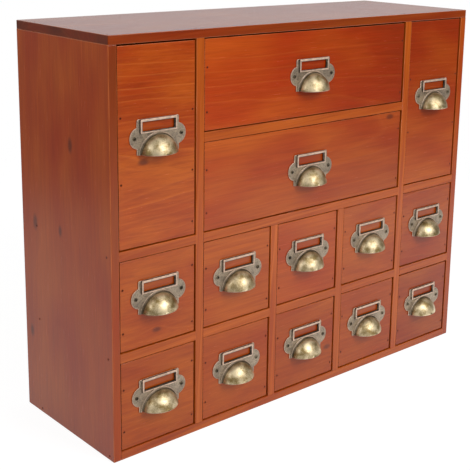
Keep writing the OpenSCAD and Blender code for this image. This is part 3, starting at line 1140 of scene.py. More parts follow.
    def cup_skin(self, inset: float) -> np.ndarray:
        """Works out the cup's outer or inner skin.

        A row goes round the axis from one side of the mouth to the other: its angle runs evenly from the
        arcsine of mouth height over radius to 180 degrees less that.

        Args:
            inset: distance that the skin is taken in by, 0 outside and the wall inside.

        Returns:
            A grid of points, one row for each point of the profile.
        """
        profile = self.cup_profile(inset)
        radius = profile[:, :1]
        start = np.arcsin(np.clip((self.mouth_v - self.axis_v) / radius, -1, 1))
        angle = start + (math.pi - 2 * start) * np.linspace(0, 1, self.CUP_COLUMNS)
        height = np.repeat(profile[:, 1:], self.CUP_COLUMNS, axis=1)
        return np.stack([radius * np.cos(angle), self.axis_v + radius * np.sin(angle), height], axis=-1)

    def cup(self) -> Surface:
        """Makes the cup with a wall and a rounded lip.

        The outer and inner skins are grids. Along the mouth they are joined by half circles across the
        wall, whose points are the middle of the wall plus cos b across and sin b down, and at the foot by a
        flat ring.

        Returns:
            The closed shell.
        """
        outer, inner = self.cup_skin(0.0), self.cup_skin(self.cup_wall)
        grid = np.arange(outer.size // 3).reshape(outer.shape[:2])
        inside = grid + grid.size
        rim = np.concatenate([grid[:, 0], grid[-1, 1:-1], grid[::-1, -1]])
        outer, inner = outer.reshape(-1, 3), inner.reshape(-1, 3)
        middle = (outer[rim] + inner[rim]) / 2
        across = (outer[rim] - inner[rim]) / 2
        down = np.array([0.0, -self.cup_wall / 2, 0.0])
        turns = np.linspace(0, math.pi, self.LIP_STEPS + 1)[1:-1]
        lips = [middle + across * math.cos(b) + down * math.sin(b) for b in turns]
        points = np.concatenate([outer, inner, *lips])
        between = [2 * grid.size + i * len(rim) + np.arange(len(rim)) for i in range(len(lips))]
        lip_rows = [rim, *between, rim + grid.size]
        faces = [face[::-1] for face in strips(grid, False)] + strips(inside, False)
        faces += strips(lip_rows, False) + strips([grid[0], inside[0]], False)
        smooth = [True] * len(faces) + [False, False]
        faces += [[int(row[0]) for row in lip_rows][::-1], [int(row[-1]) for row in lip_rows]]
        rise = (points[:, 2] - self.plate_t) / self.cove_r
        # Painted shade: dark in the cove by the plate and all over the inside.
        cavity = np.clip(2.0 - rise, 0, 1) * self.COVE_SHADE
        cavity[grid.size : 2 * grid.size] = self.INSIDE_SHADE
        edge = np.zeros(len(points))
        edge[2 * grid.size :] = self.LIP_RUB
        rub = np.clip(rise, self.LEAST_RUB, 1)
        return Surface(points, faces, smooth, {"rub": rub, "cavity": cavity, "edge": edge})

    def bead(self) -> Surface:
        """Makes the bead round the cup's foot: a small circle carried round the cup's axis above the mouth.

        Returns:
            The closed bead.
        """
        radius = self.foot_r + self.bead_r / 2
        start = math.asin((-self.plate_drop - self.axis_v) / radius)
        around = np.linspace(start, math.pi - start, self.BEAD_ROWS)[:, None]
        small = np.linspace(0, 2 * math.pi, self.BEAD_COLUMNS, endpoint=False)
        away = radius + self.bead_r * np.cos(small)
        height = np.repeat((self.plate_t + self.bead_r * np.sin(small))[None], self.BEAD_ROWS, axis=0)
        places = [away * np.cos(around), self.axis_v + away * np.sin(around), height]
        points = np.stack(places, axis=-1).reshape(-1, 3)
        grid = np.arange(len(points)).reshape(self.BEAD_ROWS, self.BEAD_COLUMNS)
        faces = [face[::-1] for face in strips(grid, True)]
        smooth = [True] * len(faces) + [False, False]
        faces += [grid[0].tolist(), grid[-1].tolist()[::-1]]
        # Painted highlight along the bead's crest, strongest at the top of its arch.
        edge = (self.BEAD_RUB * np.sin(around) ** 2 * np.clip(np.sin(small), 0, 1)).ravel()
        return Surface(points, faces, smooth, {"edge": edge})

    def screw(self, side: int) -> Surface:
        """Turns a screw with a domed head and a cross recess, whose radius swells four times a turn.

        Args:
            side: -1 for the left screw, 1 for the right one.

        Returns:
            The screw.
        """
        steps = self.SCREW_STEPS
        shank, head, top = self.screw_d / 2, self.screw_head_d / 2, self.screw_head_h
        dome_r = (head**2 + top**2) / (2 * top)
        narrow, swell, sharpness = 0.42, 0.78, 6
        clear = 0.05
        turns = np.radians(np.linspace(*self.DOME_ARC))
        dome = [(dome_r * math.cos(a), top - dome_r + dome_r * math.sin(a)) for a in turns]
        dome = [place for place in dome if self.FLAT_R < place[0] < head - clear]
        edge_h = top - dome_r + math.sqrt(dome_r**2 - self.RECESS_R**2)
        point_r, point_l = self.SCREW_POINT
        stem = [(point_r, -self.screw_l), (shank, -self.screw_l + point_l), (shank, 0.0)]
        recess = [(radius, edge_h - depth) for radius, depth in self.RECESS_WALL]
        profile = np.array(stem + [(head, 0.0), (head, self.SCREW_RIM_H)] + dome + recess)
        pinch = np.ones((len(profile), steps))
        twice_round = 2 * np.arange(steps) * 2 * math.pi / steps
        pinch[-3:-1] = narrow + swell * np.cos(twice_round) ** sharpness
        middle = (side * self.screw_spacing / 2, 0.0, self.plate_t + self.SCREW_LIFT)
        surface = turned(profile, middle, steps, pinch)
        cavity, rub = np.zeros((2, len(profile)))
        # The cross recess is painted in full shade.
        cavity[-2:] = 1.0
        rub[3:-3] = self.LEAST_RUB
        surface.values = {"cavity": np.repeat(cavity, steps), "rub": np.repeat(rub, steps)}
        return surface

    def surfaces(self) -> list[Surface]:
        """Every surface of the pull but its screws."""
        plate = [self.plate(), self.window_shade_sheet(), self.label_frame(), *self.frame_feet()]
        return [*plate, self.bead(), self.cup()]


@dataclass(frozen=True)
class CaseSizes:
    """Driving sizes of the case and the places that follow from them."""

    opening_w: float = 94.0
    opening_h: float = 95.5
    depth: float = 172.0
    board_t: float = 9.0
    shelf_t: float = 10.0
    panel_t: float = 3.0
    panel_recess: float = 1.0
    rebate_w: float = 5.0
    columns: int = 5
    rows: int = 4

    @property
    def half_w(self) -> float:
        """Half the width of the case."""
        return (self.columns * self.opening_w + (self.columns - 1) * self.shelf_t) / 2 + self.board_t

    @property
    def inner_w(self) -> float:
        """Half the width between the sides."""
        return self.half_w - self.board_t

    @property
    def height(self) -> float:
        """Height of the case."""
        return self.rows * self.opening_h + (self.rows - 1) * self.shelf_t + 2 * self.board_t

    @property
    def top_z(self) -> float:
        """Underside of the top board."""
        return self.height - self.board_t

    @property
    def lip(self) -> float:
        """Thickness that the rebate leaves of a board."""
        return self.board_t - self.rebate_w

    @property
    def front_y(self) -> float:
        """Front of the case."""
        return -self.depth / 2

    @property
    def back_y(self) -> float:
        """Back of the case."""
        return self.depth / 2

    @property
    def panel_y(self) -> float:
        """Front face of the back panel."""
        return self.back_y - self.panel_recess - self.panel_t

    @property
    def slot_y(self) -> float:
        """Depth to which the dividers and shelves are slotted into each other."""
        return (self.front_y + self.panel_y) / 2

    def column_x(self, column: int) -> float:
        """Left edge of a column's opening."""
        return -self.half_w + self.board_t + column * (self.opening_w + self.shelf_t)

    def row_z(self, row: int) -> float:
        """Lower edge of a row's opening."""
        return self.board_t + row * (self.opening_h + self.shelf_t)

    def divider_x(self, column: int) -> float:
        """Middle of the divider right of a column."""
        return self.column_x(column + 1) - self.shelf_t / 2


class Case:
    """Standing part of the cabinet: boards halved into each other, a thin back panel, nails and pins."""

    BODY = "case"
    EASE = 0.55
    SHELF_EASE = 0.35
    BOTTOM_EASE = 0.1
    PANEL_EASE = 0.15
    TOP_CORNER_R = 0.9
    SIDE_CORNER_R = 0.7
    BOTTOM_CORNER_R = 0.6
    CORNER_STEPS = 3
    NAIL_FROM_FRONT = 8
    NAIL_FROM_BACK = 30
    PANEL_GAP = 0.05
    # Radius and height of a pin from its point to the middle of its round head.
    PIN = ((0.15, -11.5), (0.6, -10), (0.6, -0.2), (1.4, -0.2), (1.4, 0.12), (1.1, 0.34), (0.5, 0.42))
    PIN_STEPS = 12

    def __init__(self, sizes: CaseSizes, finishes: dict[str, Finish]) -> None:
        """Takes what the case is made from.

        Args:
            sizes: the case's sizes.
            finishes: the finishes by name.
        """
        self.sizes = sizes
        self.finishes = finishes
        self.nail = Nail(length=25.0)
        self.nail_ys = (sizes.front_y + self.NAIL_FROM_FRONT, sizes.back_y - self.NAIL_FROM_BACK)

    def board(self, name: str, surface: Surface, plane: Plane, cut: Cut) -> None:
        """Makes one pine board.

        Args:
            name: the node that the board stands for.
            surface: the board, drawn in the plane.
            plane: where it lies.
            cut: how it lies in its log.
        """
        piece = Piece(f"{name}_pine", self.finishes["stained"], self.BODY, name)
        piece.add(surface.placed(plane), cut)
        piece.make()

    def side_nails(self) -> list[Pair]:
        """Works out where the nails are in a side, by the bottom board and the two long shelves.

        Returns:
            Z and Y of each nail.
        """
        s = self.sizes
        heights = (s.board_t / 2, s.row_z(1) - s.shelf_t / 2, s.row_z(2) - s.shelf_t / 2)
        return [(z, y) for z in heights for y in self.nail_ys]

    def top_nails(self) -> list[Pair]:
        """Works out where the nails are in the top, over the sides and the outer dividers.

        Returns:
            X and Y of each nail.
        """
        s = self.sizes
        over = s.half_w - s.board_t / 2
        xs = (-over, s.divider_x(0), s.divider_x(s.columns - 2), over)
        return [(x, y) for x in xs for y in self.nail_ys]

    def top(self) -> None:
        """Makes the top. The panel's rebate is an outline of its own over part of the board's thickness."""
        s = self.sizes
        half_w, front, back, lap = s.half_w, s.front_y, s.back_y, s.inner_w + s.rebate_w
        right = [(half_w, front), (half_w, back), (lap, back), (lap, back)]
        left = [(-lap, back), (-lap, back), (-half_w, back), (-half_w, front)]
        whole = np.array(right + left)
        rebated = whole.copy()
        rebated[3:5, 1] = s.panel_y
        corners = (0, 1, 6, 7)
        low, high = (soften(o, self.TOP_CORNER_R, self.CORNER_STEPS, corners) for o in (rebated, whole))
        pits = [self.nail.pit(x, y) for x, y in self.top_nails()]
        board = block(low, s.top_z, s.height, self.EASE, pits, (s.top_z + s.rebate_w, high))
        cut = Cut(Grain.LEVEL_ALONG_X, (30, -70), 0.76, 40, figure=0.7, front_edge=(0.35, 0.35))
        self.board("top_board", board, Plane.LEVEL, cut)

    def bottom(self) -> None:
        """Makes the bottom: its section, with the panel's rebate, carried from side to side."""
        s = self.sizes
        low = [(s.front_y, 0), (s.back_y, 0), (s.back_y, s.lip)]
        high = [(s.panel_y, s.lip), (s.panel_y, s.board_t), (s.front_y, s.board_t)]
        section = soften(np.array(low + high), self.BOTTOM_CORNER_R, self.CORNER_STEPS, (0, 1, 5))
        board = block(section, -s.inner_w, s.inner_w, self.BOTTOM_EASE, steps=1)
        cut = Cut(Grain.LEVEL_ALONG_X, (10, -90), 0.93, 0, pale=0.95)
        self.board("bottom_board", board, Plane.RIGHT, cut)

    def sides(self) -> None:
        """Makes the sides, which reach the floor. The left one's front edge is darker in its upper half."""
        s = self.sizes
        front, back, top_z, lip = s.front_y, s.back_y, s.top_z, s.lip
        whole = np.array([(0, front), (top_z, front), (top_z, back), (lip, back), (lip, back), (0, back)])
        rebated = whole.copy()
        rebated[2:4, 1] = s.panel_y
        left_knots = ((104, -15, 4.5), (8, 59, 5), (10, 8, 3.5), (-119, 73, 4))
        right_knots = ((60, 20, 4), (-90, -35, 5))
        for name, plane, turn, corners, pith, knots, edge in (
            ("left_side", Plane.LEFT, 1, (0, 1, 5), (25, 75), left_knots, (-0.05, 0.8)),
            ("right_side", Plane.RIGHT, -1, (0, 4, 5), (-30, -65), right_knots, (0.1, 0.1)),
        ):
            outlines = (outline[::turn, ::turn] for outline in (rebated, whole))
            low, high = (soften(o, self.SIDE_CORNER_R, self.CORNER_STEPS, corners) for o in outlines)
            pits = [self.nail.pit(*place[::turn]) for place in self.side_nails()]
            board = block(low, s.inner_w, s.half_w, self.EASE, pits, (s.inner_w + s.rebate_w, high))
            cut = Cut(Grain.SIDE_ALONG_Z, pith, 0.9, 30, knots, 0.2, front_edge=edge, tone_drift=(0.03, 0))
            self.board(name, board, plane, cut)

    def dividers(self) -> None:
        """Makes the boards on edge, slotted from the back to their middle where shelves cross them."""
        s = self.sizes
        names = ("left_divider", "inner_left_divider", "inner_right_divider", "right_divider")
        tones = (1.0, 1.05, 0.98, 1.02)
        for column, (name, tone) in enumerate(zip(names, tones)):
            inner = name.startswith("inner")
            top = s.row_z(2) - s.shelf_t if inner else s.top_z
            outline = [(s.front_y, s.board_t), (s.panel_y, s.board_t)]
            for row in (1,) if inner else (1, 2):
                low, high = s.row_z(row) - s.shelf_t, s.row_z(row)
                outline += [(s.panel_y, low), (s.slot_y, low), (s.slot_y, high), (s.panel_y, high)]
            outline += [(s.panel_y, top), (s.front_y, top)]
            x = s.divider_x(column)
            board = block(np.array(outline), x - s.shelf_t / 2, x + s.shelf_t / 2, self.EASE)
            cut = Cut(Grain.SIDE_ALONG_Z, (20 - 25 * column, 60), 0.98 * tone, 90 * column, pale=1.0)
            self.board(name, board, Plane.RIGHT, cut)

    def shelves(self) -> None:
        """Makes the level boards, slotted from the front to their middle where dividers cross them."""
        s = self.sizes
        last = s.columns - 2
        crossings = {
            "wide_shelf": (3, s.divider_x(last) - s.shelf_t / 2, ()),
            "middle_shelf": (2, s.inner_w, (0, last)),
            "lower_shelf": (1, s.inner_w, range(s.columns - 1)),
        }
        for place, (name, (row, half, columns)) in enumerate(crossings.items()):
            outline = [(-half, s.front_y)]
            for column in columns:
                low, high = s.divider_x(column) - s.shelf_t / 2, s.divider_x(column) + s.shelf_t / 2
                outline += [(low, s.front_y), (low, s.slot_y), (high, s.slot_y), (high, s.front_y)]
            outline += [(half, s.front_y), (half, s.panel_y), (-half, s.panel_y)]
            board = block(np.array(outline), s.row_z(row) - s.shelf_t, s.row_z(row), self.SHELF_EASE)
            cut = Cut(Grain.LEVEL_ALONG_X, (35 - 30 * place, 55), 0.98 - 0.02 * place, 130 * place, pale=1.0)
            self.board(name, board, Plane.LEVEL, cut)

    def panel(self) -> None:
        """Makes the thin ply panel in the rebate."""
        s = self.sizes
        half = s.inner_w + s.rebate_w - self.PANEL_GAP
        low, high = s.lip + self.PANEL_GAP, s.top_z + s.rebate_w - self.PANEL_GAP
        outline = rectangle(-half, half, low, high)
        board = block(outline, -s.panel_y - s.panel_t, -s.panel_y, self.PANEL_EASE, steps=1)
        piece = Piece("back_panel_ply", self.finishes["ply"], self.BODY, "back_panel")
        piece.add(board.placed(Plane.FRONT), Cut(Grain.FRONT_ALONG_X, (30, 140), 1.0, 0))
        piece.make()

    def nails(self) -> None:
        """Makes the nails through the sides and the top."""
        s = self.sizes
        nails = Piece("case_nail_heads", self.finishes["steel"], self.BODY, "case_nails")
        for z, y in self.side_nails():
            nails.add(self.nail.surface(z, y, s.half_w).placed(Plane.LEFT))
            nails.add(self.nail.surface(y, z, s.half_w).placed(Plane.RIGHT))
        for x, y in self.top_nails():
            nails.add(self.nail.surface(x, y, s.height).placed(Plane.LEVEL))
        nails.make()

    def pins(self) -> None:
        """Makes the pins that hold the back panel to the case, the outer dividers and the middle shelf."""
        s = self.sizes
        edge_x = s.inner_w + s.rebate_w / 2
        low_z = s.board_t - s.rebate_w / 2
        middle_xs = [s.column_x(c) + s.opening_w / 2 for c in range(s.columns)]
        row_zs = [s.row_z(r) + s.opening_h / 2 for r in range(s.rows)]
        dividers = (s.divider_x(0), s.divider_x(s.columns - 2))
        places = [(x, z) for x in middle_xs for z in (low_z, s.height - low_z)]
        places += [(x, z) for x in (-edge_x, edge_x) for z in row_zs]
        places += [(x, z) for x in dividers for z in (row_zs[1], row_zs[3])]
        places += [(x, s.row_z(2) - s.shelf_t / 2) for x in middle_xs[1:-1]]
        pins = Piece("back_pin_heads", self.finishes["steel"], self.BODY, "back_pins")
        for x, z in places:
            pin = turned(np.array(self.PIN), (z, x, s.panel_y + s.panel_t), self.PIN_STEPS)
            pins.add(pin.placed(Plane.BACK))
        pins.make()

    def build(self) -> None:
        """Makes every piece of the case."""
        boards = (self.top, self.bottom, self.sides, self.dividers, self.shelves, self.panel)
        for step in (*boards, self.nails, self.pins):
            step()


@dataclass(frozen=True)
class Drawer:
    """One drawer: its name, its place among columns and rows, and how its front was cut from the log."""

    name: str
    column: int
    row: int
    wide: int
    high: int
    cut: Cut
    seed: int

    FRONT_T = 9.0
    GAP = 1.0
    RECESS = 1.0
    SIDE_T = 8.0
    BOTTOM_T = 4.0
    HEADROOM = 15.2
    RUNNER_GAP = 0.3
    REAR_GAP = 0.5
    JOINT_GAP = 0.05
    EASE = 0.45
    CORNER_R = 0.85
    CORNER_STEPS = 3
    BOX_EASE = 0.5
    BOTTOM_EASE = 0.2
    # How much wider than the gap the joint round a front is: always on the right, and at most on each side.
    EXTRA_RIGHT = 0.3
    UNEVEN = (0.3, 0.3, 0.6, 0.8)
    WAVER_SPACING = 14.0
    WAVER = 0.14
    # Height of the pull above the middle of the opening in a tall, a wide and a small drawer.
    PULL_RISES = (9.0, -2.0, 5.0)
    NAIL_EDGE = 3.2
    # Heights of the nails in the left and the right end, over the opening's foot or from its head if negative.
    TALL_NAILS = ((66.0, 131.0), (15.0, 69.0, 131.0))
    LOW_NAILS = ((20.0, -30.0), (12.0, -22.0))

    def span(self, sizes: CaseSizes) -> tuple[float, float, float, float]:
        """Works out the drawer's opening.

        Args:
            sizes: the case's sizes.

        Returns:
            Its lowest and highest X and its lowest and highest Z.
        """
        low_x, low_z = sizes.column_x(self.column), sizes.row_z(self.row)
        width = self.wide * (sizes.opening_w + sizes.shelf_t) - sizes.shelf_t
        height = self.high * (sizes.opening_h + sizes.shelf_t) - sizes.shelf_t
        return low_x, low_x + width, low_z, low_z + height

    def pull_rise(self) -> float:
        """Height of the pull's screws above the middle of the opening."""
        tall, wide, small = self.PULL_RISES
        return tall if self.high > 1 else wide if self.wide > 1 else small

    def nail_places(self, sizes: CaseSizes) -> list[Pair]:
        """Works out where the nails are in the front's ends.

        Args:
            sizes: the case's sizes.

        Returns:
            X and Z of each nail, first at the left end.
        """
        low_x, high_x, low_z, high_z = self.span(sizes)
        inset = self.GAP + self.NAIL_EDGE
        height = high_z - low_z
        ends = zip((low_x + inset, high_x - inset), self.TALL_NAILS if self.high > 1 else self.LOW_NAILS)
        return [(x, low_z + (z if z > 0 else height + z)) for x, heights in ends for z in heights]


class DrawerMaker:
    """Builds the pieces of a drawer: front, nails, box, pull and screws."""

    def __init__(self, sizes: CaseSizes, finishes: dict[str, Finish]) -> None:
        """Takes what the drawers are made from.

        Args:
            sizes: the case's sizes.
            finishes: the finishes by name.
        """
        self.sizes = sizes
        self.finishes = finishes
        self.nail = Nail()
        self.pull = CupPull()

    def start(self, drawer: Drawer, name: str, finish: str, node: str) -> Piece:
        """Starts a piece that rides on a drawer's body and stands for one of its nodes.

        Args:
            drawer: the drawer.
            name: the piece's name after the drawer's.
            finish: the finish's name.
            node: the node's name after the drawer's.

        Returns:
            The piece, still without surfaces.
        """
        body = f"{drawer.name}_drawer"
        return Piece(f"{drawer.name}_{name}", self.finishes[finish], body, f"{drawer.name}_{node}")

    def front(self, drawer: Drawer) -> None:
        """Makes the front board with eased, slightly wavering edges and pits for its nails, and the nails.

        Args:
            drawer: the drawer.
        """
        low_x, high_x, low_z, high_z = drawer.span(self.sizes)
        gap = drawer.GAP
        left, low, right, high = np.random.default_rng(drawer.seed).uniform(0, 1, 4) * drawer.UNEVEN
        right_x = high_x - gap - drawer.EXTRA_RIGHT - right
        corners = rectangle(low_x + gap + left, right_x, low_z + gap + low, high_z - gap - high)
        rounded = soften(corners, drawer.CORNER_R, drawer.CORNER_STEPS)
        outline = hand_cut(rounded, drawer.WAVER_SPACING, drawer.WAVER, drawer.seed)
        face = -(self.sizes.front_y + drawer.RECESS)
        places = drawer.nail_places(self.sizes)
        pits = [self.nail.pit(x, z) for x, z in places]
        front = self.start(drawer, "front_pine", "stained", "front")
        board = block(outline, face - drawer.FRONT_T, face, drawer.EASE, pits)
        front.add(board.placed(Plane.FRONT), drawer.cut)
        front.make()
        nails = self.start(drawer, "nails", "steel", "front")
        for x, z in places:
            nails.add(self.nail.surface(x, z, face).placed(Plane.FRONT))
        nails.make()

    def box(self, drawer: Drawer) -> None:
        """Makes two sides, a back and a bottom of unstained pine, glued behind the front.

        Args:
            drawer: the drawer.
        """
        s, seed = self.sizes, drawer.seed
        low_x, high_x, low_z, high_z = drawer.span(s)
        low_x, high_x = low_x + drawer.GAP, high_x - drawer.GAP
        front = s.front_y + drawer.RECESS + drawer.FRONT_T
        back = s.panel_y - drawer.REAR_GAP
        floor = low_z + drawer.RUNNER_GAP
        wall = floor + drawer.BOTTOM_T + drawer.JOINT_GAP
        rim = high_z - drawer.HEADROOM
        box = self.start(drawer, "box_pine", "raw", "box")
        outline = rectangle(low_x, high_x, front, back)
        bottom = block(outline, floor, floor + drawer.BOTTOM_T, drawer.BOTTOM_EASE, steps=2)
        box.add(bottom, Cut(Grain.LEVEL_ALONG_X, (25.0, 50.0 + seed), 1.0, 17.0 * seed))
        outline = rectangle(front, back, wall, rim)
        for place, edge in enumerate((low_x, high_x - drawer.SIDE_T)):
            side = block(outline, edge, edge + drawer.SIDE_T, drawer.BOX_EASE, steps=2)
            pith = (12.0 * place - 9, 35.0 + 3 * seed)
            cut = Cut(Grain.SIDE_ALONG_Y, pith, 0.97 + 0.05 * place, 31.0 * seed)
            box.add(side.placed(Plane.RIGHT), cut)
        inset = drawer.SIDE_T + drawer.JOINT_GAP
        outline = rectangle(low_x + inset, high_x - inset, wall, rim)
        rear = block(outline, -back, drawer.SIDE_T - back, drawer.BOX_EASE, steps=2)
        box.add(rear.placed(Plane.FRONT), Cut(Grain.FRONT_ALONG_X, (-8.0, 45.0), 1.02, 53.0 * seed))
        box.make()

    def handle(self, drawer: Drawer) -> None:
        """Makes the pull and its two screws.

        Args:
            drawer: the drawer.
        """
        low_x, high_x, low_z, high_z = drawer.span(self.sizes)
        height = (low_z + high_z) / 2 + drawer.pull_rise()
        place = ((low_x + high_x) / 2, self.sizes.front_y + drawer.RECESS, height)
        pull = self.start(drawer, "pull_brass", "brass", "pull")
        screws = self.start(drawer, "screws", "screw", "pull")
        for surface in self.pull.surfaces():
            pull.add(surface.placed(Plane.FRONT, place))
        for side in (-1, 1):
            screws.add(self.pull.screw(side).placed(Plane.FRONT, place))
        pull.make()
        screws.make()

    def build(self, drawer: Drawer) -> None:
        """Makes every piece of one drawer."""
        for step in (self.front, self.box, self.handle):
            step(drawer)


def all_drawers() -> list[Drawer]:
    """Lists the drawers. A small front's pith, tone and place along the log are drawn from its number.

    Returns:
        The fourteen drawers, the tall and wide ones first.
    """
    along = Grain.FRONT_ALONG_X
    left_knot, lower_knot = ((-17, -15, 3.6),), ((131, 42, 3.6),)
    places = {
        "tall_left": (0, 2, 1, 2),
        "tall_right": (4, 2, 1, 2),
        "wide_upper": (1, 3, 3, 1),
        "wide_lower": (1, 2, 3, 1),
    }
    cuts = (
        Cut(along, (-32, 16), 0.98, 60, left_knot, 0.75, 0.09, 0.66, pale_drift=(0, -0.16)),
        Cut(along, (-60, 44), 0.83, -140, (), 0.3, pale=0.4, tone_drift=(0, -0.1), pale_drift=(0, -0.42)),
        Cut(along, (-70, 60), 0.91, 210, (), 0.3, pale=0.05, tone_drift=(-0.15, 0), pale_drift=(-0.22, 0)),
        Cut(
            along,
            (35, 40),
            0.91,
            -60,
            lower_knot,
            0.4,
            pale=0.6,
            tone_drift=(-0.06, 0.1),
            pale_drift=(0, -0.2),
        ),
    )
    rows = enumerate(zip(places.items(), cuts), start=1)
    drawers = [Drawer(name, *place, cut, seed) for seed, ((name, place), cut) in rows]
    # Painted shade: the fronts grow darker and their stain less pale towards the right columns, as less light
    # falls there.
    painted_falloff_tones, painted_falloff_pales = (0.97, 1.0, 0.97, 0.9, 0.82), (1.0, 1.0, 0.85, 0.75, 0.65)
    knots = {15: ((-2.0, -33.0, 3.2),), 12: ((37.0, -14.0, 3.4),)}
    for row, name, row_tone in ((1, "upper", 0.98), (0, "lower", 0.88)):
        for column in range(5):
            seed = 10 + 5 * row + column
            draw = np.random.default_rng(seed).uniform
            pith = (draw(-60, 60), draw(28, 70))
            tone = draw(0.95, 1.04) * painted_falloff_tones[column] * row_tone
            slope = draw(-0.1, 0.1)
            pale = draw(0.67, 1.0) * painted_falloff_pales[column]
            shift, figure = draw(-300, 300), draw(0.15, 0.5)
            cut = Cut(along, pith, tone, shift, knots.get(seed, ()), figure, slope, pale)
            drawers.append(Drawer(f"{name}_{column + 1}", column, row, 1, 1, cut, seed))
    return drawers


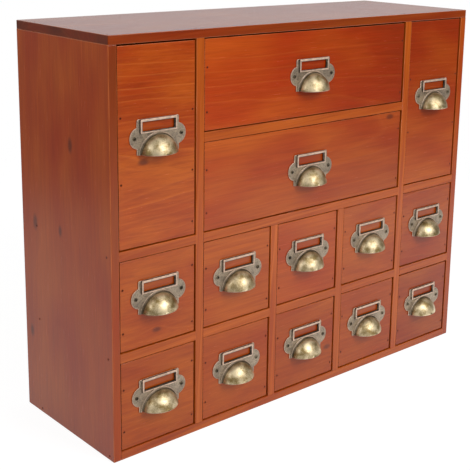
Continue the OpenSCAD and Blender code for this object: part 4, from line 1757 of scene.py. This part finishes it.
@dataclass(frozen=True)
class Studio:
    """Camera, lamps, world and floor round the cabinet, in metres and degrees."""

    camera_at: Triple = (-0.7765, -0.8740, 0.5352)
    heading: float = 41.34
    tilt: float = -12.72
    roll: float = 0.975
    focal_px: float = 1020.1
    centre_px: Pair = (254.6, 150.0)
    sensor_mm: float = 36.0
    lamps_at: Triple = (0.0, 0.0, 0.2)
    floor_r: float = 1.3
    floor_fade: float = 0.4
    floor_glow: float = 0.8
    floor_white: float = 1.14
    floor_z: float = -0.0004
    ambient: float = 0.42
    dim: float = 0.04
    ceiling: float = 0.4
    wall: float = 0.8
    table: float = 1.1

    # Ranges: two values of a direction or a place, and where they are given what comes out at them.
    WALL_FROM_Y = (-0.1, 0.35)
    WALL_FROM_Z = (-0.12, 0.1, 0.3)
    CEILING_FROM_Z = (0.1, 0.5)
    TABLE_FROM_Z = (-0.19, -0.245)
    TABLE_FROM_X = (0.3, 0.75)
    FLOOR_FROM_X = (-0.9, 0.7, 0.55, 1.7)
    FLOOR_STEPS = 96
    FLOOR_COLOUR = "#f8f8f8"
    NEAREST = 0.05
    # Softboxes: name, place, width and height, and power in watts.
    SOFTBOXES = (
        ("front_softbox", (0.35, -1.5, 1.15), (0.8, 0.8), 16.0),
        ("left_softbox", (-1.55, -0.75, 1.2), (0.5, 0.5), 5.0),
    )

    def camera(self) -> None:
        """Places the camera where the photograph's perspective puts it.

        It looks along its heading, right of the depth axis, tilted down and rolled by a degree. Its shift
        moves the point that it looks at away from the middle of the picture.
        """
        data = bpy.data.cameras.new("camera")
        data.sensor_width = self.sensor_mm
        data.lens = self.focal_px / IMAGE_SIDE * data.sensor_width
        data.shift_x = 0.5 - self.centre_px[0] / IMAGE_SIDE
        data.shift_y = self.centre_px[1] / IMAGE_SIDE - 0.5
        data.clip_start = self.NEAREST
        camera = bpy.data.objects.new("camera", data)
        place = Matrix.Translation(self.camera_at)
        for angle, axis in ((-self.heading, "Z"), (90 + self.tilt, "X"), (self.roll, "Z")):
            place = place @ Matrix.Rotation(math.radians(angle), 4, axis)
        camera.matrix_world = place
        bpy.context.scene.collection.objects.link(camera)
        bpy.context.scene.camera = camera

    def lamp(self, name: str, at: Triple, size: Pair, power: float) -> None:
        """Adds a softbox that looks at the middle of the cabinet.

        Args:
            name: the lamp's name.
            at: its place.
            size: its width and height.
            power: its power in watts.
        """
        data = bpy.data.lights.new(name, "AREA")
        data.shape = "RECTANGLE"
        data.size, data.size_y = size
        data.energy = power
        lamp = bpy.data.objects.new(name, data)
        lamp.location = at
        lamp.rotation_euler = (Vector(self.lamps_at) - Vector(at)).to_track_quat("-Z", "Y").to_euler()
        bpy.context.scene.collection.objects.link(lamp)

    def world(self) -> None:
        """Lights the room evenly and gives it a picture of its own for each kind of ray.

        The camera sees white. Glossy and clear surfaces see a white wall behind the cabinet, a dim room
        before it, a grey ceiling, and a white table low on the right.
        """
        world = bpy.data.worlds.new("studio")
        world.use_nodes = True
        bpy.context.scene.world = world
        world.node_tree.nodes.clear()
        add = partial(add_node, world.node_tree)
        path = add("LightPath").outputs
        x, y, z = add("SeparateXYZ", add("TexCoord").outputs["Generated"]).outputs
        behind = add("MapRange", y, *self.WALL_FROM_Y, interpolation_type="SMOOTHSTEP")
        above = add("MapRange", z, *self.WALL_FROM_Z, interpolation_type="SMOOTHSTEP")
        wall = add("Math", behind, above, operation="MULTIPLY")
        wall = add("Math", wall, self.wall, operation="MULTIPLY")
        ceiling = add("MapRange", z, *self.CEILING_FROM_Z, self.dim, self.ceiling)
        under = add("MapRange", z, *self.TABLE_FROM_Z, interpolation_type="SMOOTHSTEP")
        right = add("MapRange", x, *self.TABLE_FROM_X, 0.0, self.table)
        table = add("Math", under, right, operation="MULTIPLY")
        room = add("Math", wall, ceiling, operation="MAXIMUM")
        room = add("Math", room, table, operation="MAXIMUM")
        mirrored = add("Math", path["Is Glossy Ray"], path["Is Transmission Ray"], operation="MAXIMUM")
        level = add("Mix", mirrored, self.ambient, room, data_type="FLOAT")
        level = add("Mix", path["Is Camera Ray"], level, 1.0, data_type="FLOAT")
        add("OutputWorld", add("Background", WHITE, level))

    def floor(self) -> None:
        """Makes the white table, which fades out into the white backdrop: a disc whose edge is clear.

        It glows to the camera as bright as the backdrop, and in reflections more on its right, as by a
        window. It still takes the cabinet's shadow.
        """
        material, add = blank_material("white_table")
        path = add("LightPath").outputs
        place = add("TexCoord").outputs["Object"]
        away = add("VectorMath", place, operation="LENGTH")
        fade = (self.floor_r - self.floor_fade, self.floor_r)
        clear = add("MapRange", away, *fade, interpolation_type="SMOOTHSTEP")
        mirrored = add("Math", path["Is Glossy Ray"], path["Is Transmission Ray"], operation="MAXIMUM")
        seen = add("Math", path["Is Camera Ray"], mirrored, operation="MAXIMUM")
        share = add("Math", seen, self.floor_glow, operation="MULTIPLY")
        white = add("BsdfDiffuse", linear(self.FLOOR_COLOUR))
        right = add("SeparateXYZ", place).outputs["X"]
        lit = add("MapRange", right, *self.FLOOR_FROM_X)
        glow = add("Mix", path["Is Camera Ray"], lit, self.floor_white, data_type="FLOAT")
        bright = add("Emission", WHITE, glow)
        board = add("MixShader", share, white, bright)
        add("OutputMaterial", add("MixShader", clear, board, add("BsdfTransparent")))
        ring = arc((0, 0), self.floor_r, 0, 360, self.FLOOR_STEPS)[:-1]
        points = np.column_stack([ring, np.full(len(ring), self.floor_z)])
        mesh = bpy.data.meshes.new("table")
        mesh.from_pydata(points, [], [list(range(len(ring)))])
        mesh.materials.append(material)
        floor = bpy.data.objects.new("table", mesh)
        bpy.context.scene.collection.objects.link(floor)

    def build(self) -> None:
        """Sets up everything round the cabinet."""
        self.camera()
        for softbox in self.SOFTBOXES:
            self.lamp(*softbox)
        self.world()
        self.floor()
        bpy.context.scene.view_settings.view_transform = "Standard"


def all_finishes() -> dict[str, Finish]:
    """Builds every finish of the cabinet.

    Returns:
        The finishes by a short name.
    """
    # Planed pine under a red-brown stain and satin varnish: early wood soaks it up and late wood shows as
    # lines of orange, the stain is patchy, and worn edges are pale.
    stained = Timber(
        "pine_red_brown_stain_satin_varnish",
        early="#ab3404",
        pale="#b65510",
        late="#cf6a22",
        streak="#8e2f08",
        end_grain="#5c2410",
        worn_edge="#dc7c44",
        ring_mm=6.3,
        line_share=0.6,
        streak_share=0.55,
        roughness=0.24,
        relief_mm=0.05,
    )
    # Planed pine without a finish: pale and matt, with thin brown lines.
    raw = Timber(
        "pine_planed",
        early="#dcbb88",
        pale="#e2c596",
        late="#b98a4e",
        streak="#cda770",
        end_grain="#b99360",
        worn_edge="#e6cfa4",
        ring_mm=5.5,
        line_share=0.5,
        streak_share=0.4,
        roughness=0.55,
        relief_mm=0.05,
    )
    # Sanded ply: its face is peeled round the log, so the rings are wide and faint.
    ply = Timber(
        "ply_sanded",
        early="#cfaf80",
        pale="#d6b98c",
        late="#b18a56",
        streak="#bf9a66",
        end_grain="#9a7a4e",
        worn_edge="#dcc49a",
        ring_mm=14.0,
        line_share=0.4,
        streak_share=0.5,
        roughness=0.55,
        relief_mm=0.03,
    )
    # The screws' brass is darker than the plate's, because no hand rubs it.
    screw = AntiqueBrass("antique_brass_screws", patina="#3c3024", patina_dark="#20170f")
    return {
        "stained": Finish(stained.material(), "stained_pine"),
        "raw": Finish(raw.material(), "raw_pine"),
        "ply": Finish(ply.material(), "plywood"),
        "brass": Finish(AntiqueBrass().material(), "antique_brass"),
        "screw": Finish(screw.material(), "antique_brass"),
        "steel": Finish(StainedSteel().material(), "steel"),
    }


def main() -> None:
    """Builds the studio, the case and the drawers."""
    logging.basicConfig(level=logging.INFO, format="%(message)s")
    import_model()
    Studio().build()
    finishes = all_finishes()
    sizes = CaseSizes()
    Case(sizes, finishes).build()
    maker = DrawerMaker(sizes, finishes)
    for drawer in all_drawers():
        maker.build(drawer)


if __name__ == "__main__":
    main()
